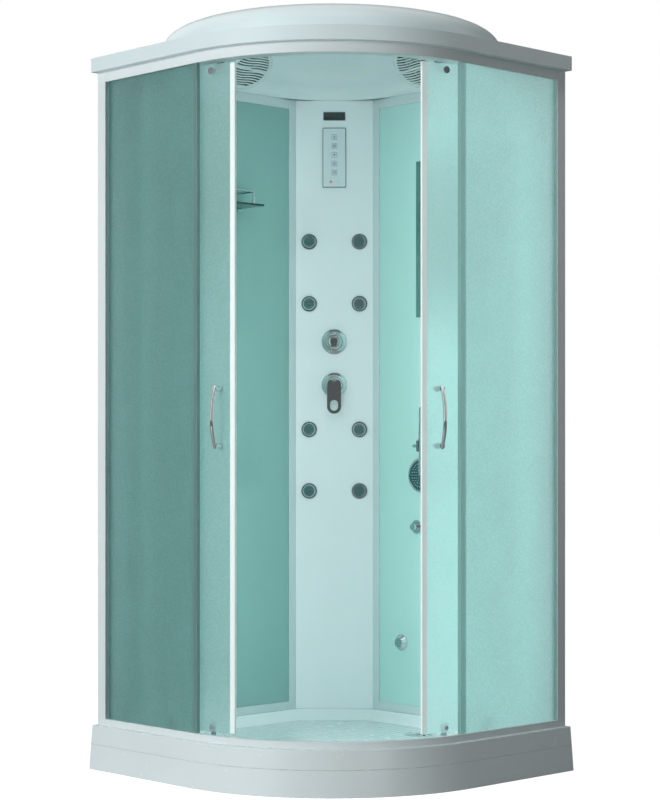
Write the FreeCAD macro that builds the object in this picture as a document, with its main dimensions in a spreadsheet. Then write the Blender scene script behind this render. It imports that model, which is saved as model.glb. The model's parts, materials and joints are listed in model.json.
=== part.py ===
import FreeCAD, Part
import Sketcher
import math
import os

# Steam shower cabin for a room corner: a moulded tray with its skirt, two framed glass walls,
# a column panel across the back corner with the water and electric fittings, a curved front
# with two sliding doors, and a domed roof. Millimetres, +Z up, front towards -Y.
#
# Three ways of naming a place are used:
#   wall frame    u runs along the left wall and v along the right wall, both from the outer
#                 back corner, so a front flank lies at u = side and the other at v = side.
#   wall face     x along a wall (negative on the left wall), y up, z into the room.
#   column face   x to the right, y up, z out of the column panel towards the front.

doc = FreeCAD.newDocument("ShowerCabin")
sheet = doc.addObject("Spreadsheet::Sheet", "Sizes")

SIZES = (
    ("cabin_side", 1000, "length of each wall side in plan"),
    ("front_radius", 550, "radius of the curved front"),
    ("skirt_flare", 12, "how far the skirt stands out at the floor"),
    ("skirt_wall", 6, "thickness of the moulded tray"),
    ("lip_top", 129, "top of the tray's front lip"),
    ("lip_width", 20, "width of the front lip"),
    ("ledge_top", 108, "ledge that the walls and the rail stand on"),
    ("floor_top", 75, "standing surface of the tray"),
    ("well_front", 95, "front ledge, from the outer line to the well"),
    ("well_back", 42, "back ledge, from the outer line to the well"),
    ("well_slope", 30, "run of the sloped side of the well"),
    ("well_chamfer", 182, "well's cut corner, distance from the back corner"),
    ("foot_height", 44, "levelling feet, floor to frame"),
    ("foot_radius", 22, "pad of a levelling foot"),
    ("foot_pad_thickness", 6, "pad of a levelling foot"),
    ("foot_stud_radius", 6, "stud of a levelling foot"),
    ("foot_nut_radius", 11, "lock nut of a levelling foot"),
    ("foot_nut_height", 8, "lock nut of a levelling foot"),
    ("beam_width", 25, "square tube of the tray frame"),
    ("beam_wall", 2, "wall of the tube"),
    ("beam_near", 250, "beams near the walls"),
    ("beam_far", 650, "beams near the front"),
    ("beam_start", 60, "end of a beam from the wall side"),
    ("beam_end", 930, "other end of a beam"),
    ("drain_across", 280, "drain, to the right of the middle"),
    ("drain_forward", 502, "drain, from the back corner"),
    ("drain_hole_radius", 46, "hole in the tray"),
    ("drain_recess_radius", 60, "recess round the hole"),
    ("drain_recess_depth", 2.5, "recess round the hole"),
    ("drain_cover_radius", 58, "drain cover"),
    ("drain_cover_thickness", 4, "drain cover"),
    ("drain_collar_radius", 42, "locating collar under the cover"),
    ("drain_collar_depth", 10, "locating collar under the cover"),
    ("cover_slot_start", 15, "slots, from the middle of the cover"),
    ("cover_slot_width", 6, "slots of the cover"),
    ("cover_slots", 8, "slots in the cover"),
    ("trap_bottom", 4, "underside of the trap"),
    ("trap_radius", 56, "body of the trap"),
    ("trap_wall", 3, "wall of the trap"),
    ("outlet_radius", 18, "waste outlet pipe"),
    ("outlet_collar_radius", 20, "socket end of the waste outlet"),
    ("outlet_collar_length", 30, "socket end of the waste outlet"),
    ("outlet_height", 24, "axis of the waste outlet"),
    ("outlet_end", 60, "end of the waste outlet from the wall side"),
    ("outlet_passage", 14, "room round the waste socket, through the skirt"),
    ("rail_offset", 20, "outer face of the rails, in from the outer line"),
    ("rail_block", 16, "width of the rail's glazing block"),
    ("rail_width", 66, "whole width of a rail"),
    ("rail_height", 40.5, "bottom rail"),
    ("rail_web", 5, "floor of the bottom rail"),
    ("rail_lip", 4, "inner lip of the bottom rail"),
    ("rail_lip_height", 27, "inner lip of the bottom rail"),
    ("frame_top", 2069, "top of the wall frames and of the top rail"),
    ("top_rail_height", 37.3, "top rail"),
    ("top_web", 7, "top of the top rail"),
    ("ledge_low", 2036, "underside of the wheel ledge"),
    ("ledge_thickness", 4, "wheel ledge"),
    ("ledge_reach", 82, "inner edge of the wheel ledge, from the outer line"),
    ("post_width", 36, "post, along the flank"),
    ("post_wall", 3, "wall of the post's channel"),
    ("glass_thickness", 5, "all panes"),
    ("fixed_glass_offset", 26, "outer face of the side panels"),
    ("glass_grip", 8, "how far a pane sits in its groove"),
    ("glass_clearance", 0.3, "gap round a pane in its groove"),
    ("edge_profile_width", 18, "profile on the free edge of a side panel"),
    ("post_seal_width", 12, "seal strip between post and side panel"),
    ("seal_side", 4, "thickness of a seal beside the glass"),
    ("wall_thickness", 30, "framed walls"),
    ("wall_bar", 28, "side bars of a wall frame"),
    ("wall_bar_top", 30, "top bar of a wall frame"),
    ("wall_bar_bottom", 25, "bottom bar of a wall frame"),
    ("wall_glass_back", 20, "back face of the wall glass from the outer line"),
    ("column_face", 166, "column panel from the back corner"),
    ("column_half_width", 123.6, "half width of the column panel"),
    ("panel_thickness", 4, "column panel"),
    ("panel_flange", 26, "side flanges of the column panel"),
    ("door_glass_radius", 490, "inner face of the curved doors"),
    ("door_track_radius", 478, "middle line of the wheels"),
    ("door_lead_angle", 0.4, "glass edge at the middle of the front, degrees"),
    ("door_tail_angle", 47, "other glass edge, degrees"),
    ("front_wheel_angle", 9, "front carrier on the closed door, degrees"),
    ("rear_wheel_angle", 36, "rear carrier on the closed door, degrees"),
    ("front_guide_angle", 9, "front guide, degrees"),
    ("rear_guide_angle", 28, "rear guide, degrees"),
    ("door_opening", 518, "clear way between the open doors"),
    ("door_gap", 4, "glass edge to the rails, above and below"),
    ("door_seal_start", 0.06, "leading seal from the middle of the front, degrees"),
    ("door_seal_angle", 1.75, "width of the leading seal, degrees"),
    ("door_tail_seal_angle", 1.2, "width of the trailing seal, degrees"),
    ("door_seal_cheek", 3, "seal beside the glass"),
    ("wheel_radius", 9, "top wheels"),
    ("wheel_width", 8, "top wheels"),
    ("wheel_groove", 1.5, "round groove in the tread"),
    ("axle_radius", 2.5, "wheel axle"),
    ("axle_clearance", 0.3, "gap between axle and wheel"),
    ("wheel_clearance", 0.2, "wheel above its ledge"),
    ("hanger_reach", 27, "hanger plate, in from the wheel line"),
    ("hanger_plate", 4, "thickness of the hanger plate"),
    ("hanger_width", 24, "width of the hanger"),
    ("hanger_arm_low", 2003, "underside of the hanger arm"),
    ("hanger_arm_height", 14, "hanger arm"),
    ("hanger_top", 2060, "top of the hanger plate"),
    ("bolt_radius", 4, "bolts through the door glass"),
    ("bolt_clearance", 0.5, "gap round a bolt"),
    ("bolt_head_radius", 10, "outer head of a carrier bolt"),
    ("bolt_head_height", 5, "outer head of a carrier bolt"),
    ("guide_height", 166, "axis of the guide bolt"),
    ("guide_block_depth", 12, "guide block inside the glass"),
    ("guide_block_height", 24, "guide block inside the glass"),
    ("guide_width", 20, "guide block inside the glass"),
    ("guide_foot_width", 16, "foot of the guide in the bottom rail"),
    ("guide_foot_depth", 8, "foot of the guide in the bottom rail"),
    ("guide_foot_low", 125, "underside of the guide foot"),
    ("guide_cap_radius", 6, "cap of the guide on the outer face"),
    ("guide_cap_height", 4, "cap of the guide on the outer face"),
    ("handle_angle", 6, "handle on the closed door, degrees"),
    ("handle_height", 1036, "middle of the handles"),
    ("handle_spacing", 160, "between the two fixings"),
    ("handle_length", 180, "whole handle"),
    ("handle_bar_radius", 5.5, "bow of the handle"),
    ("handle_end_reach", 22, "bow to glass at its ends"),
    ("handle_mid_reach", 40, "bow to glass in the middle"),
    ("handle_foot_radius", 8, "standoffs"),
    ("handle_rose_radius", 10, "rosettes inside"),
    ("handle_rose_height", 6, "rosettes inside"),
    ("rim_overhang", 5, "roof rim, out from the outer line"),
    ("rim_low", 2061, "lower edge of the roof rim"),
    ("rim_top", 2103, "flat top of the roof rim"),
    ("roof_top", 2200, "crown of the roof"),
    ("roof_wall", 5, "thickness of the roof shell"),
    ("dome_centre", 600, "middle of the dome from the back corner"),
    ("dome_radius", 512, "foot of the dome"),
    ("dome_back", 55, "foot of the dome from the walls"),
    ("dome_corner", 250, "rounding of the dome's back corner"),
    ("dome_run", 200, "way from the dome's foot to its level crown"),
    ("dome_squareness", 3, "how upright the dome's wall is, 2 for an ellipse"),
    ("dome_side_round", 60, "rounding where dome and wall line meet"),
    ("ceiling_back", 32, "ceiling's lower edge from the walls"),
    ("ceiling_corner", 300, "rounding of the ceiling's back corner"),
    ("grille_across", 253, "grilles, to each side of the middle"),
    ("grille_forward", 419, "grilles, from the back corner"),
    ("grille_height", 2122, "middle of the grilles"),
    ("grille_tilt", 45, "grilles, degrees down from the wall"),
    ("grille_radius", 76, "outer edge of a grille"),
    ("grille_open_radius", 64, "slotted part of a grille"),
    ("grille_thickness", 5, "grilles"),
    ("grille_slot", 4.4, "height of a slot"),
    ("grille_pitch", 8.4, "slot to slot"),
    ("grille_slots", 15, "slots in a grille"),
    ("grille_bar", 8, "bar across the slots"),
    ("grille_bar_turn", 5, "bar from level, degrees"),
    ("grille_seat", 6, "grille above the ceiling boss's rim"),
    ("boss_wall", 3, "wall of the ceiling bosses"),
    ("boss_length", 40, "length of the ceiling bosses"),
    ("speaker_radius", 48, "speaker basket"),
    ("speaker_depth", 11, "speaker basket"),
    ("speaker_wall", 4, "speaker basket"),
    ("speaker_flange", 3, "speaker flange"),
    ("magnet_radius", 20, "speaker magnet"),
    ("magnet_depth", 8, "speaker magnet"),
    ("fan_radius", 52, "fan housing"),
    ("fan_depth", 20, "fan housing"),
    ("fan_wall", 3, "fan housing"),
    ("impeller_radius", 45, "fan blades"),
    ("impeller_hub_radius", 17, "fan hub"),
    ("impeller_depth", 9, "fan hub and blades"),
    ("impeller_blades", 7, "fan blades"),
    ("blade_thickness", 2, "fan blades"),
    ("blade_tilt", 50, "fan blades, degrees"),
    ("fan_shaft_radius", 3, "fan shaft"),
    ("shaft_clearance", 0.4, "gap round the fan shaft"),
    ("display_width", 75.6, "control panel"),
    ("display_low", 1788, "lower edge of the control panel"),
    ("display_height", 192, "control panel"),
    ("display_thickness", 5, "control panel"),
    ("display_border", 3, "rim of the control panel"),
    ("display_recess", 1, "field inside the rim"),
    ("key_size", 16, "touch keys"),
    ("key_pitch", 28.5, "key to key"),
    ("key_first", 1836, "middle of the lowest key"),
    ("key_height", 0.8, "relief of a key"),
    ("lamp_height", 1806, "indicator lamp"),
    ("lamp_radius", 5, "indicator lamp"),
    ("badge_width", 72.5, "blank badge plate"),
    ("badge_height", 28.6, "blank badge plate"),
    ("badge_centre", 2018, "middle of the badge plate"),
    ("badge_thickness", 3, "blank badge plate"),
    ("mixer_height", 1151, "axis of the mixer"),
    ("diverter_height", 1291, "axis of the diverter"),
    ("plate_radius", 41, "escutcheon plates"),
    ("plate_thickness", 8, "escutcheon plates"),
    ("plate_edge", 3, "straight edge of an escutcheon"),
    ("stem_radius", 9, "valve stems"),
    ("stem_hole_radius", 11, "hole for a stem in its plate"),
    ("stem_length", 20, "valve stems, out of the column"),
    ("valve_hole_radius", 30, "holes in the column for the valves"),
    ("valve_radius", 26, "valve bodies"),
    ("valve_depth", 58, "valve bodies behind the column panel"),
    ("cap_radius", 25, "mixer cap and diverter knob"),
    ("cap_length", 28, "mixer cap and diverter knob"),
    ("cap_gap", 0.5, "running gap of caps and stems"),
    ("cap_dome", 6, "rounded front of the knob"),
    ("lever_width", 45, "loop of the mixer lever"),
    ("lever_reach", 93, "lever below the mixer's axis"),
    ("lever_thickness", 8, "mixer lever"),
    ("lever_hole_width", 25, "hole in the loop"),
    ("lever_hole_height", 34, "hole in the loop"),
    ("lever_rim", 10, "loop below its hole"),
    ("lever_pivot_rise", 14, "lever pivot above the mixer's axis"),
    ("lever_pivot_radius", 2.5, "lever pivot pin"),
    ("lever_pin_length", 30, "lever pivot pin"),
    ("pin_clearance", 0.1, "gap round the pivot pin"),
    ("lug_radius", 4.5, "lug of the mixer cap"),
    ("lug_width", 12, "lug of the mixer cap"),
    ("jet_across", 81, "jets, to each side of the middle"),
    ("jet_row_low", 810, "lowest pair of jets"),
    ("jet_row_second", 1008, "second pair of jets"),
    ("jet_row_third", 1413, "third pair of jets"),
    ("jet_row_top", 1613, "highest pair of jets"),
    ("jet_ring_radius", 25.5, "ring of a jet"),
    ("jet_ring_height", 7, "ring of a jet"),
    ("jet_barrel_radius", 23.4, "barrel of a jet behind its ring"),
    ("jet_barrel_depth", 24, "barrel behind the column's face"),
    ("jet_hole_clearance", 0.4, "barrel in its hole"),
    ("jet_nut_radius", 30, "nut behind the panel"),
    ("jet_nut_height", 7, "nut behind the panel"),
    ("jet_ball_radius", 21.5, "swivelling ball of a jet"),
    ("jet_ball_clearance", 0.35, "ball in its seat"),
    ("jet_ball_centre", 3, "ball's middle, out of the column"),
    ("jet_face", 4.5, "flat face from the ball's middle"),
    ("jet_bore_radius", 7, "water way of a jet"),
    ("nozzle_radius", 1.6, "small spray holes"),
    ("nozzle_depth", 3, "small spray holes"),
    ("nozzle_ring_radius", 13, "ring of spray holes"),
    ("nozzle_count", 10, "spray holes in the ring"),
    ("jet_spigot_radius", 7, "spigot towards the pipe"),
    ("jet_spigot_length", 8, "spigot towards the pipe"),
    ("pipe_radius", 7.5, "water pipes"),
    ("pipe_bore_radius", 5.5, "water pipes"),
    ("inlet_spacing", 100, "hot and cold inlets"),
    ("inlet_radius", 10.5, "threaded inlets, half inch"),
    ("inlet_length", 18, "threaded inlets"),
    ("inlet_depth", 12, "start of the thread, behind the middle of the pipes"),
    ("steam_width", 150, "steam generator"),
    ("steam_depth", 60, "steam generator"),
    ("steam_height", 300, "steam generator"),
    ("steam_low", 300, "underside of the steam generator"),
    ("steam_gap", 12, "generator behind the column panel"),
    ("steam_bracket", 20, "width of its hanging brackets"),
    ("steam_pipe_radius", 6, "steam pipe"),
    ("steam_outlet_along", 330, "steam outlet on the right wall"),
    ("steam_outlet_height", 330, "steam outlet on the right wall"),
    ("steam_outlet_radius", 26, "steam outlet"),
    ("steam_outlet_depth", 16, "steam outlet"),
    ("shelf_start", 444, "end of the shelf, along the left wall"),
    ("shelf_length", 300, "glass shelf"),
    ("shelf_depth", 112, "glass shelf"),
    ("shelf_top", 1705, "top of the glass shelf"),
    ("shelf_thickness", 6, "glass shelf"),
    ("shelf_gap", 6, "shelf to wall"),
    ("shelf_rail_rise", 38, "guard rail above the shelf"),
    ("shelf_rail_radius", 4, "guard rail"),
    ("shelf_rail_inset", 8, "guard rail from the shelf's front edge"),
    ("shelf_rail_end", 36, "guard rail from the shelf's ends"),
    ("shelf_clamp_inset", 20, "clamps from the shelf's ends"),
    ("shelf_clamp_width", 18, "shelf clamps"),
    ("shelf_clamp_height", 24, "shelf clamps"),
    ("shelf_clamp_depth", 26, "shelf clamps"),
    ("mirror_start", 397, "edge of the mirror, along the right wall"),
    ("mirror_width", 280, "mirror"),
    ("mirror_low", 1360, "lower edge of the mirror"),
    ("mirror_height", 492, "mirror"),
    ("mirror_thickness", 5, "mirror"),
    ("clip_width", 22, "mirror clips"),
    ("clip_height", 14, "mirror clips"),
    ("clip_lip", 3, "mirror clips"),
    ("clip_inset", 50, "mirror clips from its corners"),
    ("holder_along", 462, "hand shower holder, along the right wall"),
    ("holder_height", 955, "hand shower holder"),
    ("holder_radius", 22, "holder's wall plate"),
    ("holder_plate", 6, "holder's wall plate"),
    ("holder_reach", 44, "cradle from the wall"),
    ("holder_arm_radius", 9, "holder's arm"),
    ("holder_knob_radius", 6, "screw knob of the cradle"),
    ("holder_knob_length", 18, "screw knob, out of the cradle"),
    ("cradle_radius", 19, "cradle round the hand shower"),
    ("cradle_height", 34, "cradle round the hand shower"),
    ("grip_radius", 11.5, "grip of the hand shower in the cradle"),
    ("grip_clearance", 0.5, "grip in its cradle"),
    ("grip_length", 200, "grip above the head"),
    ("head_radius", 53.5, "hand shower head"),
    ("head_thickness", 16, "hand shower head"),
    ("head_back_radius", 29, "flat back of the head"),
    ("grip_collar_radius", 14.5, "collar on the grip, above the cradle"),
    ("head_drop", 91, "head's middle below the holder"),
    ("head_nozzle_radius", 2, "spray holes of the head"),
    ("head_nozzle_ring", 34, "ring of spray holes"),
    ("head_nozzle_count", 16, "spray holes of the head"),
    ("hose_outlet_along", 400, "hose outlet, along the right wall"),
    ("hose_outlet_height", 700, "hose outlet"),
    ("hose_outlet_radius", 10.5, "hose thread"),
    ("hose_outlet_length", 24, "hose outlet"),
)

# Rest tilt of each jet: degrees up, degrees to the right.
JET_TILTS = ((12, 0), (2, -8), (8, -10), (-10, -8), (2, -12), (-8, -10), (0, -12), (8, -8))

for row, (alias, value, note) in enumerate(SIZES, start=1):
    sheet.set("A%d" % row, alias)
    sheet.set("B%d" % row, str(value))
    sheet.set("C%d" % row, note)
    sheet.setAlias("B%d" % row, alias)
doc.recompute()


def number(expression):
    """The value of an expression over the sheet, as a float."""
    return float(sheet.evalExpression(expression))


def size(alias):
    """The value of one named size."""
    return number("Sizes." + alias)


def known(text):
    """An expression in which each plain size name is written as a cell of the sheet."""
    names = sorted((row[0] for row in SIZES), key=len, reverse=True)
    words = []
    word = ""
    for letter in text + " ":
        if letter.isalnum() or letter == "_":
            word += letter
            continue
        words.append("Sizes." + word if word in names else word)
        words.append(letter)
        word = ""
    return "".join(words).strip()


def value(text):
    """The number that a text of size names gives."""
    return number(known(text))


# Places that many pieces share, as texts over the sheet.
BACK = "((cabin_side - front_radius) * sqrt(2) + front_radius + skirt_flare) / 2"
GLASS_LOW = "ledge_top + rail_height"
GLASS_HIGH = "frame_top - top_rail_height"
POST_END = "cabin_side - rail_offset - rail_width"
WALL_START = "(column_face + column_half_width) / sqrt(2)"
DOOR_LOW = "ledge_top + rail_height + door_gap"
DOOR_HIGH = "frame_top - top_rail_height - door_gap"
AXLE_HEIGHT = "ledge_low + ledge_thickness + wheel_clearance + wheel_radius"

UP = FreeCAD.Vector(0, 0, 1)
TURN_WALLS = FreeCAD.Rotation(UP, -135)
STAND_UP = FreeCAD.Rotation(FreeCAD.Vector(1, 0, 0), 90)
TURN_RIGHT_WALL = FreeCAD.Rotation(UP, -45) * STAND_UP
TURN_LEFT_WALL = FreeCAD.Rotation(UP, 45) * STAND_UP
LEFT = -1
RIGHT = 1


def wall_turn(side):
    """The turn of the wall face frame on one side."""
    return TURN_LEFT_WALL if side == LEFT else TURN_RIGHT_WALL


def wall_place():
    """Placement of what is drawn in the wall frame."""
    return FreeCAD.Placement(FreeCAD.Vector(0, value(BACK), 0), TURN_WALLS)


def put(piece, across="0", depth="0", height="0", turn=None):
    """Place a piece: across to the right, depth towards the front from the back corner."""
    piece.Placement = FreeCAD.Placement(FreeCAD.Vector(0, 0, 0), turn or FreeCAD.Rotation())
    piece.setExpression("Placement.Base.x", known(across))
    piece.setExpression("Placement.Base.y", known("%s - (%s)" % (BACK, depth)))
    piece.setExpression("Placement.Base.z", known(height))
    return piece


def put_on_wall(piece, side, along="0", height="0", out="0"):
    """Place a piece in the wall face frame at a distance along the wall, a height and out of it."""
    run = "(%s) / sqrt(2)" % along
    step = "(%s) / sqrt(2)" % out
    across = "%d * (%s - %s)" % (side, run, step)
    return put(piece, across, "%s + %s" % (run, step), height, wall_turn(side))


PIECES = []


def keep(piece, label):
    """Name a finished sub-part; its label is its file name."""
    piece.Label = label
    PIECES.append(piece)
    return piece


# ---------------------------------------------------------------- drawing helpers


def new_body(label):
    """A new body."""
    return doc.addObject("PartDesign::Body", label + "_body")


def plane_of(body, role):
    """One of a body's own origin planes."""
    return next(feature for feature in body.Origin.OriginFeatures if feature.Role == role)


def new_sketch(body, role, name, lift="0"):
    """A sketch on an origin plane of its body, lifted along the plane's normal."""
    sketch = body.newObject("Sketcher::SketchObject", name)
    sketch.AttachmentSupport = [(plane_of(body, role), "")]
    sketch.MapMode = "FlatFace"
    sketch.setExpression("AttachmentOffset.Base.z", known(lift))
    return sketch


def bind(sketch, index, text):
    """Tie one constraint of a sketch to the sheet."""
    sketch.setExpression("Constraints[%d]" % index, known(text))


def pin_point(sketch, line, end, x_text, y_text):
    """Hold one point of a sketch at a place given by two texts."""
    here = sketch.addConstraint(Sketcher.Constraint("DistanceX", -1, 1, line, end, value(x_text)))
    bind(sketch, here, x_text)
    here = sketch.addConstraint(Sketcher.Constraint("DistanceY", -1, 1, line, end, value(y_text)))
    bind(sketch, here, y_text)


def draw_polygon(sketch, corners):
    """A closed polygon whose corners are pairs of texts."""
    places = [FreeCAD.Vector(value(x), value(y), 0) for x, y in corners]
    first = sketch.GeometryCount
    count = len(places)
    for index in range(count):
        sketch.addGeometry(Part.LineSegment(places[index], places[(index + 1) % count]), False)
    for index in range(count):
        following = first + (index + 1) % count
        sketch.addConstraint(Sketcher.Constraint("Coincident", first + index, 2, following, 1))
    for index, (x_text, y_text) in enumerate(corners):
        pin_point(sketch, first + index, 1, x_text, y_text)


def draw_box(sketch, left, low, right, high):
    """A rectangle between two corners given by texts."""
    draw_polygon(sketch, ((left, low), (right, low), (right, high), (left, high)))


def draw_circle(sketch, x_text, y_text, radius_text):
    """A circle whose middle and radius are texts."""
    middle = FreeCAD.Vector(value(x_text), value(y_text), 0)
    index = sketch.addGeometry(Part.Circle(middle, UP, value(radius_text)), False)
    pin_point(sketch, index, 3, x_text, y_text)
    here = sketch.addConstraint(Sketcher.Constraint("Radius", index, value(radius_text)))
    bind(sketch, here, radius_text)


def pad(body, sketch, name, length):
    """Pad a sketch along its normal."""
    feature = body.newObject("PartDesign::Pad", name)
    feature.Profile = sketch
    feature.setExpression("Length", known(length))
    sketch.Visibility = False
    return feature


def pocket(body, sketch, name, length):
    """Cut a sketch away along its normal and check that something went."""
    doc.recompute()
    before = body.Shape.Volume
    feature = body.newObject("PartDesign::Pocket", name)
    feature.Profile = sketch
    feature.Reversed = True
    feature.setExpression("Length", known(length))
    doc.recompute()
    if body.Shape.Volume >= before:
        raise RuntimeError("%s cuts nothing" % name)
    return feature


def revolve(body, sketch, name):
    """Turn a sketch on the XZ plane a full round about the upright axis."""
    feature = body.newObject("PartDesign::Revolution", name)
    feature.Profile = sketch
    feature.ReferenceAxis = (sketch, ["V_Axis"])
    feature.Angle = 360
    return feature


def polar(body, cut, sketch, name, count):
    """Repeat a cut round the body's upright axis."""
    feature = body.newObject("PartDesign::PolarPattern", name)
    feature.Originals = [cut]
    feature.Axis = (sketch, ["N_Axis"])
    feature.Angle = 360
    feature.setExpression("Occurrences", known(count))
    body.Tip = feature
    return feature


def turned(label, profile):
    """A body turned from one profile of (radius, height) texts."""
    body = new_body(label)
    sketch = new_sketch(body, "XZ_Plane", label + "_profile")
    draw_polygon(sketch, profile)
    revolve(body, sketch, label + "_turn")
    return body


def box(name, width, depth, height, x="0", y="0", z="0"):
    """A box bound to the sheet, with its low corner at x, y, z."""
    piece = doc.addObject("Part::Box", name)
    piece.setExpression("Length", known(width))
    piece.setExpression("Width", known(depth))
    piece.setExpression("Height", known(height))
    for letter, text in zip("xyz", (x, y, z)):
        piece.setExpression("Placement.Base." + letter, known(text))
    return piece


def rod(name, radius, length, x="0", y="0", z="0", turn=None):
    """A cylinder bound to the sheet, its foot at x, y, z, along the turned Z axis."""
    piece = doc.addObject("Part::Cylinder", name)
    piece.Placement = FreeCAD.Placement(FreeCAD.Vector(0, 0, 0), turn or FreeCAD.Rotation())
    piece.setExpression("Radius", known(radius))
    piece.setExpression("Height", known(length))
    for letter, text in zip("xyz", (x, y, z)):
        piece.setExpression("Placement.Base." + letter, known(text))
    return piece


def cut(name, base, tools):
    """Base less one tool or several."""
    tool = tools if not isinstance(tools, (list, tuple)) else join(name + "_tools", tools)
    piece = doc.addObject("Part::Cut", name)
    piece.Base = base
    piece.Tool = tool
    return piece


def join(name, pieces):
    """Several pieces as one solid."""
    if len(pieces) == 1:
        return pieces[0]
    piece = doc.addObject("Part::MultiFuse", name)
    piece.Shapes = list(pieces)
    return piece


def group(name, pieces):
    """Several separate solids as one sub-part."""
    piece = doc.addObject("Part::Compound", name)
    piece.Links = list(pieces)
    return piece


def shaped(name, shape, placement):
    """A sub-part whose shape is worked out here."""
    piece = doc.addObject("Part::Feature", name)
    piece.Shape = shape
    piece.Placement = placement
    return piece


# ---------------------------------------------------------------- plan outlines


def vector(u, v, z=0.0):
    """A point of the wall frame."""
    return FreeCAD.Vector(u, v, z)


def arc_about(middle, radius, start, end, z):
    """An arc round a point of the wall frame between two angles in degrees."""
    points = []
    for angle in (start, (start + end) / 2, end):
        turn = math.radians(angle)
        points.append(vector(middle[0] + radius * math.cos(turn), middle[1] + radius * math.sin(turn), z))
    return Part.Arc(*points).toShape()


def outline(front, back, z):
    """The cabin's plan: straight walls and flanks and a round front, moved out at the front."""
    side = size("cabin_side") + front
    start = size("cabin_side") - size("front_radius")
    middle = (start, start)
    edges = [
        Part.makeLine(vector(back, back, z), vector(side, back, z)),
        Part.makeLine(vector(side, back, z), vector(side, start, z)),
        arc_about(middle, size("front_radius") + front, 0, 90, z),
        Part.makeLine(vector(start, side, z), vector(back, side, z)),
        Part.makeLine(vector(back, side, z), vector(back, back, z)),
    ]
    return Part.Wire(edges)


def well_outline(inset, z):
    """The plan of the tray's well, with its back corner cut off; inset shrinks it."""
    back = size("well_back") + inset
    side = size("cabin_side") - size("well_front") - inset
    start = size("cabin_side") - size("front_radius")
    corner = (size("well_chamfer") + inset) * math.sqrt(2) - back
    radius = size("front_radius") - size("well_front") - inset
    edges = [
        Part.makeLine(vector(corner, back, z), vector(side, back, z)),
        Part.makeLine(vector(side, back, z), vector(side, start, z)),
        arc_about((start, start), radius, 0, 90, z),
        Part.makeLine(vector(start, side, z), vector(back, side, z)),
        Part.makeLine(vector(back, side, z), vector(back, corner, z)),
        Part.makeLine(vector(back, corner, z), vector(corner, back, z)),
    ]
    return Part.Wire(edges)


def prism(wire, low, high):
    """A solid between two heights on a flat wire."""
    flat = wire.copy()
    flat.translate(vector(0, 0, low - flat.BoundBox.ZMin))
    return Part.Face(flat).extrude(vector(0, 0, high - low))


def loft(wires, ruled=True):
    """A solid through several wires."""
    return Part.makeLoft(wires, True, ruled)


def band(outer, inner, start, low, high):
    """A strip that follows both flanks and the round front, between two insets."""
    far = size("cabin_side") - outer
    near = size("cabin_side") - inner
    bend = size("cabin_side") - size("front_radius")
    middle = (bend, bend)
    edges = [
        Part.makeLine(vector(far, start, low), vector(far, bend, low)),
        arc_about(middle, size("front_radius") - outer, 0, 90, low),
        Part.makeLine(vector(bend, far, low), vector(start, far, low)),
        Part.makeLine(vector(start, far, low), vector(start, near, low)),
        Part.makeLine(vector(start, near, low), vector(bend, near, low)),
        arc_about(middle, size("front_radius") - inner, 90, 0, low),
        Part.makeLine(vector(near, bend, low), vector(near, start, low)),
        Part.makeLine(vector(near, start, low), vector(far, start, low)),
    ]
    return Part.Face(Part.Wire(edges)).extrude(vector(0, 0, high - low))


def flank_box(outer, inner, start, end, low, high, side):
    """A straight block beside one flank, between two insets and two distances from the wall."""
    width = inner - outer
    length = end - start
    if side == LEFT:
        return Part.makeBox(width, length, high - low, vector(size("cabin_side") - inner, start, low))
    return Part.makeBox(length, width, high - low, vector(start, size("cabin_side") - inner, low))


# ---------------------------------------------------------------- tray and what is under it


def make_tray():
    """The moulded tray: flared skirt, lip, ledge, sloped well, drain hole and a passage for the waste."""
    wall = size("skirt_wall")
    lip = size("lip_top")
    ledge = size("ledge_top")
    flare = size("skirt_flare")
    floor = size("floor_top")
    slope = size("well_slope")
    under = ledge - wall
    outer = loft([outline(flare, 0, 0), outline(0, 0, lip)])
    under_flare = flare * (1 - under / lip)
    hollow = loft([outline(flare - wall, wall, 0), outline(under_flare - wall, wall, under)])
    hollow_foot = prism(outline(flare - wall, wall, 0), -1, 0)
    above = prism(outline(-size("lip_width"), -1, ledge), ledge, lip + 1)
    shell = outer.cut(hollow).cut(hollow_foot).cut(above)
    lower_slope = slope * (floor - wall - ledge) / (floor - ledge)
    bowl = loft([well_outline(-wall, ledge), well_outline(lower_slope - wall, floor - wall)])
    well = loft([well_outline(0, ledge), well_outline(slope, floor)])
    shell = shell.fuse(bowl).cut(well)
    middle = drain_point(0)
    hole = Part.makeCylinder(size("drain_hole_radius"), ledge, middle)
    recess_floor = middle + vector(0, 0, floor - size("drain_recess_depth"))
    recess = Part.makeCylinder(size("drain_recess_radius"), ledge, recess_floor)
    reach = size("outlet_collar_radius") + size("outlet_passage")
    axis = drain_point(size("outlet_height"))
    mouth = vector(axis.x, -1, axis.z)
    arch = Part.makeCylinder(reach, wall + 2, mouth, vector(0, 1, 0))
    gate = Part.makeBox(2 * reach, wall + 2, axis.z + 1, mouth - vector(reach, 0, axis.z + 1))
    shell = shell.cut(hole).cut(recess).cut(arch.fuse(gate)).removeSplitter()
    keep(shaped("tray_shape", shell, wall_place()), "tray")


def drain_point(z):
    """The drain's axis in the wall frame."""
    across = size("drain_across")
    forward = size("drain_forward")
    return vector((forward - across) / math.sqrt(2), (forward + across) / math.sqrt(2), z)


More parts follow.
